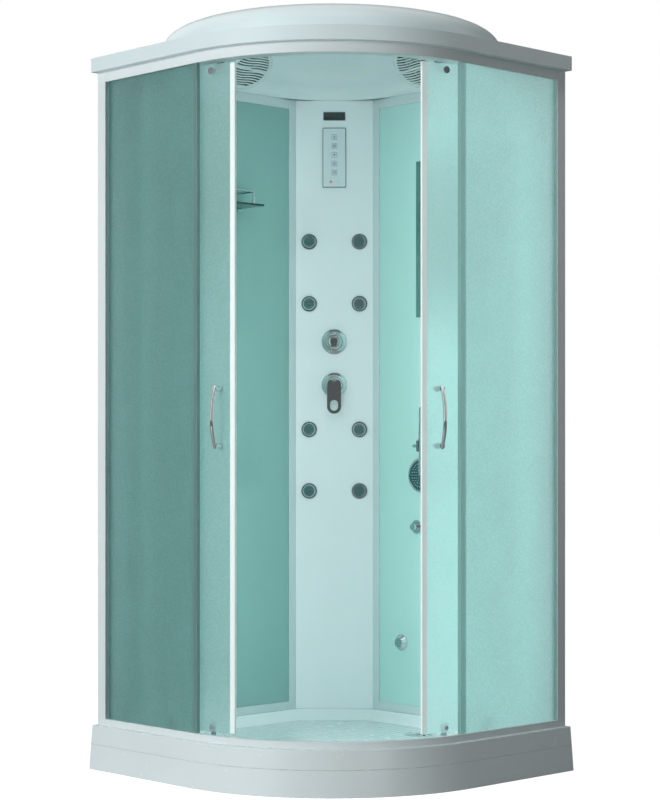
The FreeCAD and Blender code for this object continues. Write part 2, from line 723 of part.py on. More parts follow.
def make_tray_frame():
    """Four square tubes, welded where they cross."""
    outer = []
    inner = []
    length = "beam_end - beam_start"
    bore = "beam_width - 2 * beam_wall"
    for name, place in (("near", "beam_near"), ("far", "beam_far")):
        low = "foot_height"
        outer.append(box("beam_u_" + name, length, "beam_width", "beam_width", "beam_start", place, low))
        outer.append(box("beam_v_" + name, "beam_width", length, "beam_width", place, "beam_start", low))
        side = place + " + beam_wall"
        low = "foot_height + beam_wall"
        inner.append(box("bore_u_" + name, length, bore, bore, "beam_start", side, low))
        inner.append(box("bore_v_" + name, bore, length, bore, side, "beam_start", low))
    frame = cut("tray_frame_cut", join("beams", outer), inner)
    put(frame, turn=TURN_WALLS)
    keep(frame, "tray_frame")


def make_tray_feet():
    """A levelling foot under each crossing of the frame: pad, stud and lock nut."""
    feet = []
    for u_name, u_place in (("near", "beam_near"), ("far", "beam_far")):
        for v_name, v_place in (("near", "beam_near"), ("far", "beam_far")):
            name = "foot_%s_%s" % (u_name, v_name)
            place = (u_place + " + beam_width / 2", v_place + " + beam_width / 2")
            parts = (
                rod(name + "_pad", "foot_radius", "foot_pad_thickness", *place),
                rod(name + "_stud", "foot_stud_radius", "foot_height", *place),
                rod(name + "_nut", "foot_nut_radius", "foot_nut_height", *place,
                    z="foot_height - foot_nut_height"),
            )
            feet.append(join(name, parts))
    keep(put(group("feet", feet), turn=TURN_WALLS), "tray_feet")


def make_drain():
    """The trap under the tray, welded from plate, ring and outlet, and the cover in the tray's recess."""
    top = size("floor_top") - size("skirt_wall")
    low = size("trap_bottom")
    wall = size("trap_wall")
    radius = size("trap_radius")
    block = Part.makeCylinder(radius, top - low, drain_point(low))
    axis = drain_point(size("outlet_height"))
    run = axis.y - size("outlet_end")
    pipe = Part.makeCylinder(size("outlet_radius"), run, axis, vector(0, -1, 0))
    bore = Part.makeCylinder(size("outlet_radius") - wall, run, axis, vector(0, -1, 0))
    mouth = vector(axis.x, size("outlet_end"), axis.z)
    collar = Part.makeCylinder(size("outlet_collar_radius"), size("outlet_collar_length"), mouth, vector(0, 1, 0))
    inside = Part.makeCylinder(radius - wall, top - low - wall, drain_point(low + wall))
    plate = Part.makeCylinder(radius, wall, drain_point(low))
    ring = block.cut(plate).cut(inside).cut(bore)
    outlet = pipe.fuse(collar).cut(bore).cut(block).removeSplitter()
    keep(shaped("trap_shape", Part.makeCompound([plate, ring, outlet]), wall_place()), "drain_trap")

    seat = "drain_recess_depth"
    body = turned("cover", (
        ("0", "0"), ("drain_collar_radius - trap_wall", "0"),
        ("drain_collar_radius - trap_wall", "-drain_collar_depth"),
        ("drain_collar_radius", "-drain_collar_depth"), ("drain_collar_radius", "0"),
        ("drain_cover_radius", "0"), ("drain_cover_radius - 1", "drain_cover_thickness / 2"),
        ("0", "drain_cover_thickness")))
    slot_sketch = new_sketch(body, "XY_Plane", "cover_slots")
    draw_box(slot_sketch, "cover_slot_start", "-cover_slot_width / 2", "drain_collar_radius - 2 * trap_wall",
             "cover_slot_width / 2")
    slots = pocket(body, slot_sketch, "cover_slot", "drain_cover_thickness")
    polar(body, slots, slot_sketch, "cover_slot_ring", "cover_slots")
    put(body, "drain_across", "drain_forward", "floor_top - %s" % seat)
    keep(body, "drain_cover")


# ---------------------------------------------------------------- rails, posts and walls


def glass_grooves(low, high):
    """The grooves of the side panels, in both flanks."""
    outer = size("fixed_glass_offset") - size("glass_clearance")
    inner = size("fixed_glass_offset") + size("glass_thickness") + size("glass_clearance")
    start = size("post_width") - size("glass_grip") - size("glass_clearance")
    end = size("cabin_side") - size("front_radius") + size("glass_clearance")
    left = flank_box(outer, inner, start, end, low, high, LEFT)
    right = flank_box(outer, inner, start, end, low, high, RIGHT)
    return left.fuse(right)


def make_rails():
    """The curved rails between the posts: a glazing block outside and a track inside."""
    outer = size("rail_offset")
    block = outer + size("rail_block")
    inner = outer + size("rail_width")
    start = size("post_width")
    grip = size("glass_grip") + size("glass_clearance")

    low = size("ledge_top")
    high = value(GLASS_LOW)
    rail = band(outer, block, start, low, high)
    rail = rail.fuse(band(outer, inner, start, low, low + size("rail_web")))
    rail = rail.fuse(band(inner - size("rail_lip"), inner, start, low, low + size("rail_lip_height")))
    rail = rail.cut(glass_grooves(high - grip, high + 1)).removeSplitter()
    keep(shaped("bottom_rail_shape", rail, wall_place()), "bottom_rail")

    low = value(GLASS_HIGH)
    high = size("frame_top")
    shelf = size("ledge_low")
    rail = band(outer, block, start, low, high)
    rail = rail.fuse(band(outer, inner, start, high - size("top_web"), high))
    rail = rail.fuse(band(outer, size("ledge_reach"), start, shelf, shelf + size("ledge_thickness")))
    rail = rail.cut(glass_grooves(low - 1, low + grip)).removeSplitter()
    keep(shaped("top_rail_shape", rail, wall_place()), "top_rail")


def make_posts():
    """The upright channels where a wall meets the front, open towards the wall frame."""
    low = size("ledge_top")
    high = size("frame_top")
    outer = size("rail_offset")
    inner = outer + size("rail_width")
    width = size("post_width")
    wall = size("post_wall")
    for side, name in ((LEFT, "left_post"), (RIGHT, "right_post")):
        post = flank_box(outer, inner, 0, width, low, high, side)
        block = outer + size("rail_block") + wall
        channel = flank_box(block, inner + 1, wall, width - wall, low - 1, high + 1, side)
        grooves = glass_grooves(value(GLASS_LOW) - size("glass_grip"), value(GLASS_HIGH) + size("glass_grip"))
        post = post.cut(channel).cut(grooves)
        keep(shaped(name + "_shape", post, wall_place()), name)


def make_side_panels():
    """The flat frosted panels, the profile on their free edge and the strip at the post."""
    outer = size("fixed_glass_offset")
    inner = outer + size("glass_thickness")
    cheek = size("seal_side")
    post = size("post_width")
    bend = size("cabin_side") - size("front_radius")
    low = value(GLASS_LOW)
    high = value(GLASS_HIGH)
    grip = size("glass_grip")
    gap = size("glass_clearance")
    seals = []
    for side, name in ((LEFT, "left_fixed_glass"), (RIGHT, "right_fixed_glass")):
        pane = flank_box(outer, inner, post - grip, bend - gap, low - grip, high + grip, side)
        keep(shaped(name + "_shape", pane, wall_place()), name)
        slot = flank_box(outer - gap, inner + gap, 0, bend, low, high, side)
        first = bend - size("edge_profile_width")
        profile = flank_box(outer - cheek, inner + cheek, first, bend + cheek - 1, low + gap, high - gap, side)
        strip = flank_box(outer - cheek, inner + cheek, post, post + size("post_seal_width"),
                          low + gap, high - gap, side)
        seals.append(profile.cut(slot))
        seals.extend(strip.cut(slot).Solids)
    keep(shaped("fixed_seal_shapes", Part.makeCompound(seals), wall_place()), "fixed_glass_seals")


def make_walls():
    """Each wall: an aluminium frame with a pane in its groove."""
    low = "ledge_top"
    high = "frame_top"
    for side, name in ((LEFT, "left"), (RIGHT, "right")):
        near = "%d * (%s)" % (side, WALL_START)
        far = "%d * (%s)" % (side, POST_END)
        inside = "%d * (%s + wall_bar)" % (side, WALL_START)
        outside = "%d * (%s - wall_bar)" % (side, POST_END)
        frame = new_body(name + "_wall_frame")
        sketch = new_sketch(frame, "XY_Plane", name + "_wall_outline")
        draw_box(sketch, near, low, far, high)
        draw_box(sketch, inside, low + " + wall_bar_bottom", outside, high + " - wall_bar_top")
        pad(frame, sketch, name + "_wall_pad", "wall_thickness")
        grip = "(glass_grip + glass_clearance)"
        groove = new_sketch(frame, "XY_Plane", name + "_wall_groove", "wall_glass_back - glass_clearance")
        draw_box(groove, "%s - %d * %s" % (inside, side, grip), "%s + wall_bar_bottom - %s" % (low, grip),
                 "%s + %d * %s" % (outside, side, grip), "%s - wall_bar_top + %s" % (high, grip))
        pocket(frame, groove, name + "_wall_groove_cut", "glass_thickness + 2 * glass_clearance")
        put_on_wall(frame, side)
        keep(frame, name + "_wall_frame")

        glass = new_body(name + "_wall_glass")
        sketch = new_sketch(glass, "XY_Plane", name + "_pane_outline", "wall_glass_back")
        draw_box(sketch, "%s - %d * glass_grip" % (inside, side), low + " + wall_bar_bottom - glass_grip",
                 "%s + %d * glass_grip" % (outside, side), high + " - wall_bar_top + glass_grip")
        pad(glass, sketch, name + "_pane_pad", "glass_thickness")
        if side == RIGHT:
            holes = new_sketch(glass, "XY_Plane", name + "_pane_holes", "wall_glass_back")
            draw_circle(holes, "steam_outlet_along", "steam_outlet_height", "steam_pipe_radius + bolt_clearance")
            draw_circle(holes, "hose_outlet_along", "hose_outlet_height", "pipe_radius + bolt_clearance")
            pocket(glass, holes, name + "_pane_holes_cut", "glass_thickness")
        put_on_wall(glass, side)
        keep(glass, name + "_wall_glass")


JET_ROWS = ("jet_row_top", "jet_row_third", "jet_row_second", "jet_row_low")


def jet_places():
    """Each jet's place on the column face, from the top left, as texts."""
    places = []
    for row_name in JET_ROWS:
        places.append(("-jet_across", row_name))
        places.append(("jet_across", row_name))
    return places


def make_column():
    """The folded panel across the back corner, with holes for the jets, valves and display."""
    half = "column_half_width"
    front = "-column_face"
    flange = "panel_flange / sqrt(2)"
    skin = "panel_thickness / sqrt(2)"
    mitre = "panel_thickness * (sqrt(2) - 1)"
    body = new_body("column_panel")
    sketch = new_sketch(body, "XY_Plane", "column_section", "ledge_top")
    right = (
        (half, front),
        ("%s + %s" % (half, flange), "%s + %s" % (front, flange)),
        ("%s + %s - %s" % (half, flange, skin), "%s + %s + %s" % (front, flange, skin)),
        ("%s - %s" % (half, mitre), "%s + panel_thickness" % front),
    )
    left = tuple(("-(%s)" % x, y) for x, y in reversed(right))
    draw_polygon(sketch, right + left)
    pad(body, sketch, "column_pad", "frame_top - ledge_top")
    holes = new_sketch(body, "XZ_Plane", "column_holes", "column_face - panel_thickness - 1")
    for x_text, y_text in jet_places():
        draw_circle(holes, x_text, y_text, "jet_barrel_radius + jet_hole_clearance")
    draw_circle(holes, "0", "mixer_height", "valve_hole_radius")
    draw_circle(holes, "0", "diverter_height", "valve_hole_radius")
    margin = "4 * display_border"
    draw_box(holes, "%s - display_width / 2" % margin, "display_low + %s" % margin,
             "display_width / 2 - %s" % margin, "display_low + display_height - %s" % margin)
    pocket(body, holes, "column_holes_cut", "panel_thickness + 2")
    put(body)
    keep(body, "column_panel")


# ---------------------------------------------------------------- roof


def dome_outline(inset, z, radius, back, corner):
    """A round plan with its back cut along both walls, every corner rounded."""
    middle = size("dome_centre") / math.sqrt(2)
    radius = radius - inset
    back = back + inset
    small = size("dome_side_round")
    reach = math.sqrt((radius - small) ** 2 - (middle - back - small) ** 2)
    centre = middle + reach
    lean = math.degrees(math.atan2(reach, -(middle - back - small)))
    edges = [
        Part.makeLine(vector(back, centre, z), vector(back, back + corner, z)),
        arc_about((back + corner, back + corner), corner, 180, 270, z),
        Part.makeLine(vector(back + corner, back, z), vector(centre, back, z)),
        arc_about((centre, back + small), small, -90, 90 - lean, z),
        arc_about((middle, middle), radius, 90 - lean, lean, z),
        arc_about((back + small, centre), small, lean, 180, z),
    ]
    return Part.Wire(edges)


# Where the dome's wall turns into its crown: angles along the bend, from foot to crown.
DOME_BEND = (0, 2, 6, 12, 20, 28, 36, 44, 52, 60, 68, 76, 83, 90)


def dome_steps():
    """The dome's outer form: pairs of the way in from its foot and the share of its height."""
    power = 2 / size("dome_squareness")
    steps = []
    for angle in DOME_BEND:
        turn = math.radians(angle)
        steps.append((size("dome_run") * (1 - math.cos(turn) ** power), math.sin(turn) ** power))
    return steps


def dome_wires(shrink):
    """The dome's outlines from foot to crown; shrink moves them in and down."""
    rise = size("roof_top") - size("rim_top")
    wires = []
    for inset, share in dome_steps():
        z = size("rim_top") + rise * share - shrink
        wires.append(dome_outline(inset + shrink, z, size("dome_radius"), size("dome_back"),
                                  size("dome_corner")))
    return wires


def grille_frame(side):
    """Placement of a ceiling grille: its axis points down into the room."""
    across = side * size("grille_across")
    back = value(BACK) - size("grille_forward")
    lean = FreeCAD.Rotation(FreeCAD.Vector(1, 0, 0), size("grille_tilt"))
    return FreeCAD.Placement(FreeCAD.Vector(across, back, size("grille_height")), wall_turn(side) * lean)


def make_roof():
    """The roof shell: rim, flat ring and dome, with two bosses for what blows and sounds."""
    wall = size("roof_wall")
    top = size("rim_top")
    seat = size("frame_top")
    over = size("rim_overhang")
    inset = size("rail_offset")
    outer = prism(outline(over, 0, seat), seat, top)
    outer = outer.fuse(band(-over, inset, 0, size("rim_low"), seat + 1))
    wires = dome_wires(0)
    outer = outer.fuse(prism(wires[0], top - wall, top)).fuse(loft(wires))

    radius = size("dome_radius")
    lower = dome_outline(wall, seat, radius, size("ceiling_back") - wall, size("ceiling_corner"))
    room = loft([lower] + dome_wires(wall))

    ring = prism(outline(-inset - wall, wall, seat), seat, top - wall)
    lower = dome_outline(0, seat, radius, size("ceiling_back") - wall, size("ceiling_corner"))
    upper = dome_outline(0, top - wall, radius, size("dome_back"), size("dome_corner"))
    ring = ring.cut(loft([lower, upper]))

    shell = outer.cut(room).cut(ring)
    for solid in (shell, outer, room):
        solid.Placement = wall_place()
    for side in (LEFT, RIGHT):
        tube_radius = size("grille_radius") + size("boss_wall")
        length = size("boss_length")
        foot = FreeCAD.Vector(0, 0, -length)
        tube = Part.makeCylinder(tube_radius, length, foot)
        bore = Part.makeCylinder(size("grille_radius") - size("grille_seat"), length, foot)
        seat_cut = Part.makeCylinder(size("grille_radius") + size("glass_clearance"), size("grille_thickness") + 1,
                                     FreeCAD.Vector(0, 0, -size("grille_thickness")))
        for solid in (tube, bore, seat_cut):
            solid.Placement = grille_frame(side)
        shell = shell.fuse(tube.common(outer)).cut(bore.common(room)).cut(seat_cut)
    shell = shell.removeSplitter()
    keep(shaped("roof_shape", shell, FreeCAD.Placement()), "roof_shell")


def make_grilles():
    """Two round slotted grilles in the ceiling bosses."""
    grilles = []
    thick = size("grille_thickness")
    open_radius = size("grille_open_radius")
    for side in (LEFT, RIGHT):
        disc = Part.makeCylinder(size("grille_radius"), thick, FreeCAD.Vector(0, 0, -thick))
        field = Part.makeCylinder(open_radius, thick, FreeCAD.Vector(0, 0, -thick))
        slots = []
        count = int(size("grille_slots"))
        slot = size("grille_slot")
        for index in range(count):
            y = (index - (count - 1) / 2) * size("grille_pitch")
            corner = FreeCAD.Vector(-open_radius, y - slot / 2, -thick)
            slots.append(Part.makeBox(2 * open_radius, slot, thick, corner))
        bar_width = size("grille_bar")
        corner = FreeCAD.Vector(-open_radius, -bar_width / 2, -thick)
        bar = Part.makeBox(2 * open_radius, bar_width, thick, corner)
        bar.rotate(FreeCAD.Vector(0, 0, 0), UP, side * size("grille_bar_turn"))
        cuts = Part.makeCompound(slots).common(field).cut(bar)
        grille = disc.cut(cuts)
        grille.Placement = grille_frame(side)
        grilles.append(grille)
    keep(shaped("grille_shapes", Part.makeCompound(grilles), FreeCAD.Placement()), "ceiling_grilles")


def ring_solid(outer, inner, low, high):
    """A ring about the Z axis."""
    ring = Part.makeCylinder(outer, high - low, FreeCAD.Vector(0, 0, low))
    return ring.cut(Part.makeCylinder(inner, high - low, FreeCAD.Vector(0, 0, low)))


def make_speaker_and_fan():
    """The speaker behind the left grille, the fan behind the right one."""
    top = -size("grille_thickness")
    radius = size("speaker_radius")
    depth = size("speaker_depth")
    reach = size("grille_radius") - size("grille_seat")
    wall = size("speaker_wall")
    skin = size("speaker_flange")
    foot = size("magnet_radius") - wall
    flange = ring_solid(reach, radius - wall, top - skin, top)
    basket = Part.makeCone(foot, radius, depth - skin, FreeCAD.Vector(0, 0, top - depth))
    cone = Part.makeCone(foot - wall, radius - wall, depth - 2 * skin, FreeCAD.Vector(0, 0, top - depth + 2 * skin))
    magnet = Part.makeCylinder(size("magnet_radius"), size("magnet_depth"),
                               FreeCAD.Vector(0, 0, top - depth - size("magnet_depth")))
    speaker = basket.fuse(magnet).fuse(flange).cut(cone)
    keep(shaped("speaker_shape", speaker, grille_frame(LEFT)), "speaker")

    depth = size("fan_depth")
    wall = size("fan_wall")
    radius = size("fan_radius")
    housing = ring_solid(radius, radius - wall, top - depth, top)
    housing = housing.fuse(ring_solid(reach, radius - wall, top - wall, top))
    hub_radius = size("impeller_hub_radius")
    floor = FreeCAD.Vector(0, 0, top - depth)
    housing = housing.fuse(Part.makeCylinder(hub_radius, wall, floor))
    for angle in (0, 60, 120):
        spoke = Part.makeBox(2 * radius - wall, wall * 2, wall, FreeCAD.Vector(wall / 2 - radius, -wall, top - depth))
        spoke.rotate(FreeCAD.Vector(0, 0, 0), UP, angle)
        housing = housing.fuse(spoke)
    shaft = Part.makeCylinder(size("fan_shaft_radius"), depth - 2 * wall, floor)
    housing = housing.fuse(shaft).removeSplitter()
    keep(shaped("fan_housing_shape", housing, grille_frame(RIGHT)), "fan_housing")

    low = top - depth + 2 * wall
    thick = size("impeller_depth")
    impeller = ring_solid(hub_radius, size("fan_shaft_radius") + size("shaft_clearance"), low, low + thick)
    count = int(size("impeller_blades"))
    blade_thick = size("blade_thickness")
    for index in range(count):
        blade = Part.makeBox(size("impeller_radius") - hub_radius + 1, blade_thick, 2 * thick,
                             FreeCAD.Vector(hub_radius - 1, -blade_thick / 2, low - thick / 2))
        blade.rotate(FreeCAD.Vector(0, 0, low + thick / 2), FreeCAD.Vector(1, 0, 0), size("blade_tilt"))
        blade.rotate(FreeCAD.Vector(0, 0, 0), UP, 360.0 * index / count)
        impeller = impeller.fuse(blade)
    room = ring_solid(size("impeller_radius"), size("fan_shaft_radius") + size("shaft_clearance"), low, low + thick)
    impeller = impeller.common(room)
    keep(shaped("fan_impeller_shape", impeller, grille_frame(RIGHT)), "fan_impeller")


# ---------------------------------------------------------------- column fittings


def make_display():
    """The control panel with its rim, five touch keys and a lamp, and the bare badge plate."""
    body = new_body("control_panel")
    sketch = new_sketch(body, "XY_Plane", "display_outline")
    half = "display_width / 2"
    high = "display_low + display_height"
    draw_box(sketch, "-" + half, "display_low", half, high)
    pad(body, sketch, "display_pad", "display_thickness")
    field = new_sketch(body, "XY_Plane", "display_field", "display_thickness - display_recess")
    draw_box(field, "display_border - " + half, "display_low + display_border", half + " - display_border",
             high + " - display_border")
    pocket(body, field, "display_field_cut", "display_recess")
    keys = new_sketch(body, "XY_Plane", "display_keys", "display_thickness - display_recess")
    for index in range(5):
        middle = "key_first + %d * key_pitch" % index
        draw_box(keys, "-key_size / 2", middle + " - key_size / 2", "key_size / 2", middle + " + key_size / 2")
    draw_circle(keys, "0", "lamp_height", "lamp_radius")
    pad(body, keys, "display_keys_pad", "key_height")
    put(body, depth="column_face", turn=STAND_UP)
    keep(body, "control_panel")

    plate = new_body("badge_plate")
    sketch = new_sketch(plate, "XY_Plane", "badge_outline")
    draw_box(sketch, "-badge_width / 2", "badge_centre - badge_height / 2", "badge_width / 2",
             "badge_centre + badge_height / 2")
    pad(plate, sketch, "badge_pad", "badge_thickness")
    put(plate, depth="column_face", turn=STAND_UP)
    keep(plate, "badge_plate")


def escutcheon(label, height):
    """A shallow round plate with a hole for the valve's stem."""
    body = turned(label, (
        ("stem_hole_radius", "0"), ("plate_radius", "0"), ("plate_radius", "plate_edge"),
        ("plate_radius - plate_edge", "plate_edge + 2"), ("cap_radius + 2", "plate_thickness"),
        ("stem_hole_radius", "plate_thickness")))
    put(body, depth="column_face", height=height, turn=STAND_UP)
    keep(body, label)


def make_valves():
    """Mixer and diverter: plates, brass bodies with their stems, knob, cap and loop lever."""
    escutcheon("mixer_plate", "mixer_height")
    escutcheon("diverter_plate", "diverter_height")

    bodies = []
    for name, height in (("mixer", "mixer_height"), ("diverter", "diverter_height")):
        parts = (
            rod(name + "_valve", "valve_radius", "valve_depth", y=height, z="-valve_depth"),
            rod(name + "_stem", "stem_radius", "stem_length", y=height),
        )
        bodies.append(join(name + "_valve_body", parts))
    valves = group("valve_group", bodies)
    keep(put(valves, depth="column_face", turn=STAND_UP), "valve_bodies")

    foot = "plate_thickness + cap_gap"
    end = "plate_thickness + cap_gap + cap_length"
    bore = "stem_radius + cap_gap"
    roof = "stem_length + cap_gap"
    knob = turned("diverter_knob", (
        (bore, foot), ("cap_radius", foot), ("cap_radius", end + " - cap_dome"),
        ("cap_radius - cap_dome / 3", end + " - cap_dome / 3"), ("cap_radius - cap_dome", end),
        ("0", end), ("0", roof), (bore, roof)))
    put(knob, depth="column_face", height="diverter_height", turn=STAND_UP)
    keep(knob, "diverter_knob")

    cap = turned("mixer_cap_turned", (
        (bore, foot), ("cap_radius", foot), ("cap_radius", end + " - cap_dome"),
        ("cap_radius - cap_dome / 3", end + " - cap_dome / 3"), ("cap_radius - cap_dome", end),
        ("0", end), ("0", roof), (bore, roof)))
    web = box("mixer_cap_web", "lug_width", "2 * lug_radius", "cap_length / 2", "-lug_width / 2",
              "lever_pivot_rise - lug_radius", end + " + cap_gap + lever_thickness / 2 - cap_length / 2")
    lie = FreeCAD.Rotation(FreeCAD.Vector(0, 1, 0), 90)
    pivot = end + " + cap_gap + lever_thickness / 2"
    lug = rod("mixer_cap_lug", "lug_radius", "lug_width", "-lug_width / 2", "lever_pivot_rise", pivot, lie)
    pin_hole = rod("mixer_cap_pin_hole", "lever_pivot_radius + pin_clearance", "2 * lug_width", "-lug_width",
                   "lever_pivot_rise", pivot, lie)
    body = cut("mixer_cap_cut", join("mixer_cap_join", [cap, web, lug]), pin_hole)
    keep(put(body, depth="column_face", height="mixer_height", turn=STAND_UP), "mixer_cap")


def make_lever():
    """The loop lever: its hub hangs on a pin in the cap's lug, its loop reaches down."""
    width = size("lever_width")
    reach = size("lever_reach")
    thick = size("lever_thickness")
    front = size("plate_thickness") + size("cap_gap") + size("cap_length") + size("cap_gap")
    round_end = width / 2
    outline_edges = [
        Part.makeLine(FreeCAD.Vector(width / 2, 0, front), FreeCAD.Vector(width / 2, round_end - reach, front)),
        Part.Arc(FreeCAD.Vector(width / 2, round_end - reach, front), FreeCAD.Vector(0, -reach, front),
                 FreeCAD.Vector(-width / 2, round_end - reach, front)).toShape(),
        Part.makeLine(FreeCAD.Vector(-width / 2, round_end - reach, front), FreeCAD.Vector(-width / 2, 0, front)),
        Part.Arc(FreeCAD.Vector(-width / 2, 0, front), FreeCAD.Vector(0, width / 2, front),
                 FreeCAD.Vector(width / 2, 0, front)).toShape(),
    ]
    plate = Part.Face(Part.Wire(outline_edges)).extrude(FreeCAD.Vector(0, 0, thick))
    hole_width = size("lever_hole_width")
    hole_height = size("lever_hole_height")
    low = size("lever_rim") - reach
    hole_round = hole_width / 2
    hole_box = Part.makeBox(hole_width, hole_height - hole_width, thick,
                            FreeCAD.Vector(-hole_width / 2, low + hole_round, front))
    hole = hole_box
    for y in (low + hole_round, low + hole_height - hole_round):
        hole = hole.fuse(Part.makeCylinder(hole_round, thick, FreeCAD.Vector(0, y, front)))
    lever = plate.cut(hole)
    rise = size("lever_pivot_rise")
    gap = size("cap_gap")
    notch_half = size("lug_width") / 2 + gap
    notch_foot = rise - size("lug_radius") - gap
    notch = Part.makeBox(2 * notch_half, width, thick, FreeCAD.Vector(-notch_half, notch_foot, front))
    pin_half = size("lever_pin_length") / 2
    pin = Part.makeCylinder(size("lever_pivot_radius"), 2 * pin_half,
                            FreeCAD.Vector(-pin_half, rise, front + thick / 2), FreeCAD.Vector(1, 0, 0))
    above = Part.makeBox(width, width, thick, FreeCAD.Vector(-width / 2, rise, front))
    knuckle = Part.makeCylinder(thick / 2, 2 * pin_half, FreeCAD.Vector(-pin_half, rise, front + thick / 2),
                                FreeCAD.Vector(1, 0, 0))
    lever = lever.cut(above).fuse(knuckle).cut(notch).fuse(pin)
    lever = lever.removeSplitter()
    place = FreeCAD.Placement(FreeCAD.Vector(0, value(BACK) - size("column_face"), size("mixer_height")), STAND_UP)
    keep(shaped("mixer_lever_shape", lever, place), "mixer_lever")


def make_jets():
    """Eight body jets: a socket through the panel and a ball that swivels in it."""
    ring = size("jet_ring_radius")
    barrel = size("jet_barrel_radius")
    depth = size("jet_barrel_depth")
    skin = size("panel_thickness")
    ball = size("jet_ball_radius")
    centre = FreeCAD.Vector(0, 0, size("jet_ball_centre"))
    spigot = size("jet_spigot_length")
    bore = size("jet_bore_radius") - size("jet_spigot_radius") / 3
    sockets = []
    back = value(BACK) - size("column_face")
    for x_text, y_text in jet_places():
        socket = Part.makeCylinder(ring, size("jet_ring_height"))
        socket = socket.fuse(Part.makeCylinder(barrel, depth, FreeCAD.Vector(0, 0, -depth)))
        nut = Part.makeCylinder(size("jet_nut_radius"), size("jet_nut_height"),
                                FreeCAD.Vector(0, 0, -skin - size("jet_nut_height")))
        socket = socket.fuse(nut)
        socket = socket.fuse(Part.makeCylinder(size("jet_spigot_radius"), spigot, FreeCAD.Vector(0, 0, -depth - spigot)))
        socket = socket.cut(Part.makeSphere(ball + size("jet_ball_clearance"), centre))
        socket = socket.cut(Part.makeCylinder(bore, depth + spigot, FreeCAD.Vector(0, 0, -depth - spigot)))
        socket.Placement = FreeCAD.Placement(FreeCAD.Vector(value(x_text), back, value(y_text)), STAND_UP)
        sockets.append(socket)
    keep(shaped("socket_shapes", Part.makeCompound(sockets), FreeCAD.Placement()), "jet_sockets")

    for index, (x_text, y_text) in enumerate(jet_places()):
        up, right = JET_TILTS[index]
        name = "jet_nozzle_%d" % (index + 1)
        body = new_body(name)
        sketch = new_sketch(body, "XZ_Plane", name + "_profile")
        draw_ball(sketch)
        revolve(body, sketch, name + "_turn")
        doc.recompute()
        holes = new_sketch(body, "XY_Plane", name + "_hole", "jet_face - nozzle_depth")
        draw_circle(holes, "nozzle_ring_radius", "0", "nozzle_radius")
        spray = pocket(body, holes, name + "_hole_cut", "nozzle_depth")
        polar(body, spray, holes, name + "_holes", "nozzle_count")
        tilt = FreeCAD.Rotation(FreeCAD.Vector(1, 0, 0), -up) * FreeCAD.Rotation(FreeCAD.Vector(0, 1, 0), right)
        put(body, x_text, "column_face + jet_ball_centre", y_text, STAND_UP * tilt)
        keep(body, name)


def draw_ball(sketch):
    """Half the section of a ball with a flat face and a water way from behind."""
    ball = value("jet_ball_radius")
    face = value("jet_face")
    edge = math.sqrt(ball ** 2 - face ** 2)
    bore = value("jet_bore_radius")
    back = math.sqrt(ball ** 2 - bore ** 2)
    thick = value("jet_face - nozzle_depth")
    points = [
        FreeCAD.Vector(0, face, 0), FreeCAD.Vector(edge, face, 0), FreeCAD.Vector(bore, -back, 0),
        FreeCAD.Vector(bore, thick - bore, 0), FreeCAD.Vector(0, thick, 0),
    ]
    start = math.atan2(-back, bore)
    end = math.atan2(face, edge)
    sketch.addGeometry(Part.LineSegment(points[0], points[1]), False)
    circle = Part.Circle(FreeCAD.Vector(0, 0, 0), UP, ball)
    sketch.addGeometry(Part.ArcOfCircle(circle, start, end), False)
    sketch.addGeometry(Part.LineSegment(points[2], points[3]), False)
    sketch.addGeometry(Part.LineSegment(points[3], points[4]), False)
    sketch.addGeometry(Part.LineSegment(points[4], points[0]), False)
    sketch.addConstraint(Sketcher.Constraint("Coincident", 0, 2, 1, 2))
    sketch.addConstraint(Sketcher.Constraint("Coincident", 1, 1, 2, 1))
    sketch.addConstraint(Sketcher.Constraint("Coincident", 2, 2, 3, 1))
    sketch.addConstraint(Sketcher.Constraint("Coincident", 3, 2, 4, 1))
    sketch.addConstraint(Sketcher.Constraint("Coincident", 4, 2, 0, 1))
    sketch.addConstraint(Sketcher.Constraint("Coincident", 1, 3, -1, 1))
    here = sketch.addConstraint(Sketcher.Constraint("Radius", 1, ball))
    bind(sketch, here, "jet_ball_radius")
    sketch.addConstraint(Sketcher.Constraint("Horizontal", 0))
    sketch.addConstraint(Sketcher.Constraint("Vertical", 2))
    pin_point(sketch, 0, 1, "0", "jet_face")
    pin_point(sketch, 3, 1, "jet_bore_radius", "jet_face - nozzle_depth - jet_bore_radius")
    pin_point(sketch, 4, 1, "0", "jet_face - nozzle_depth")


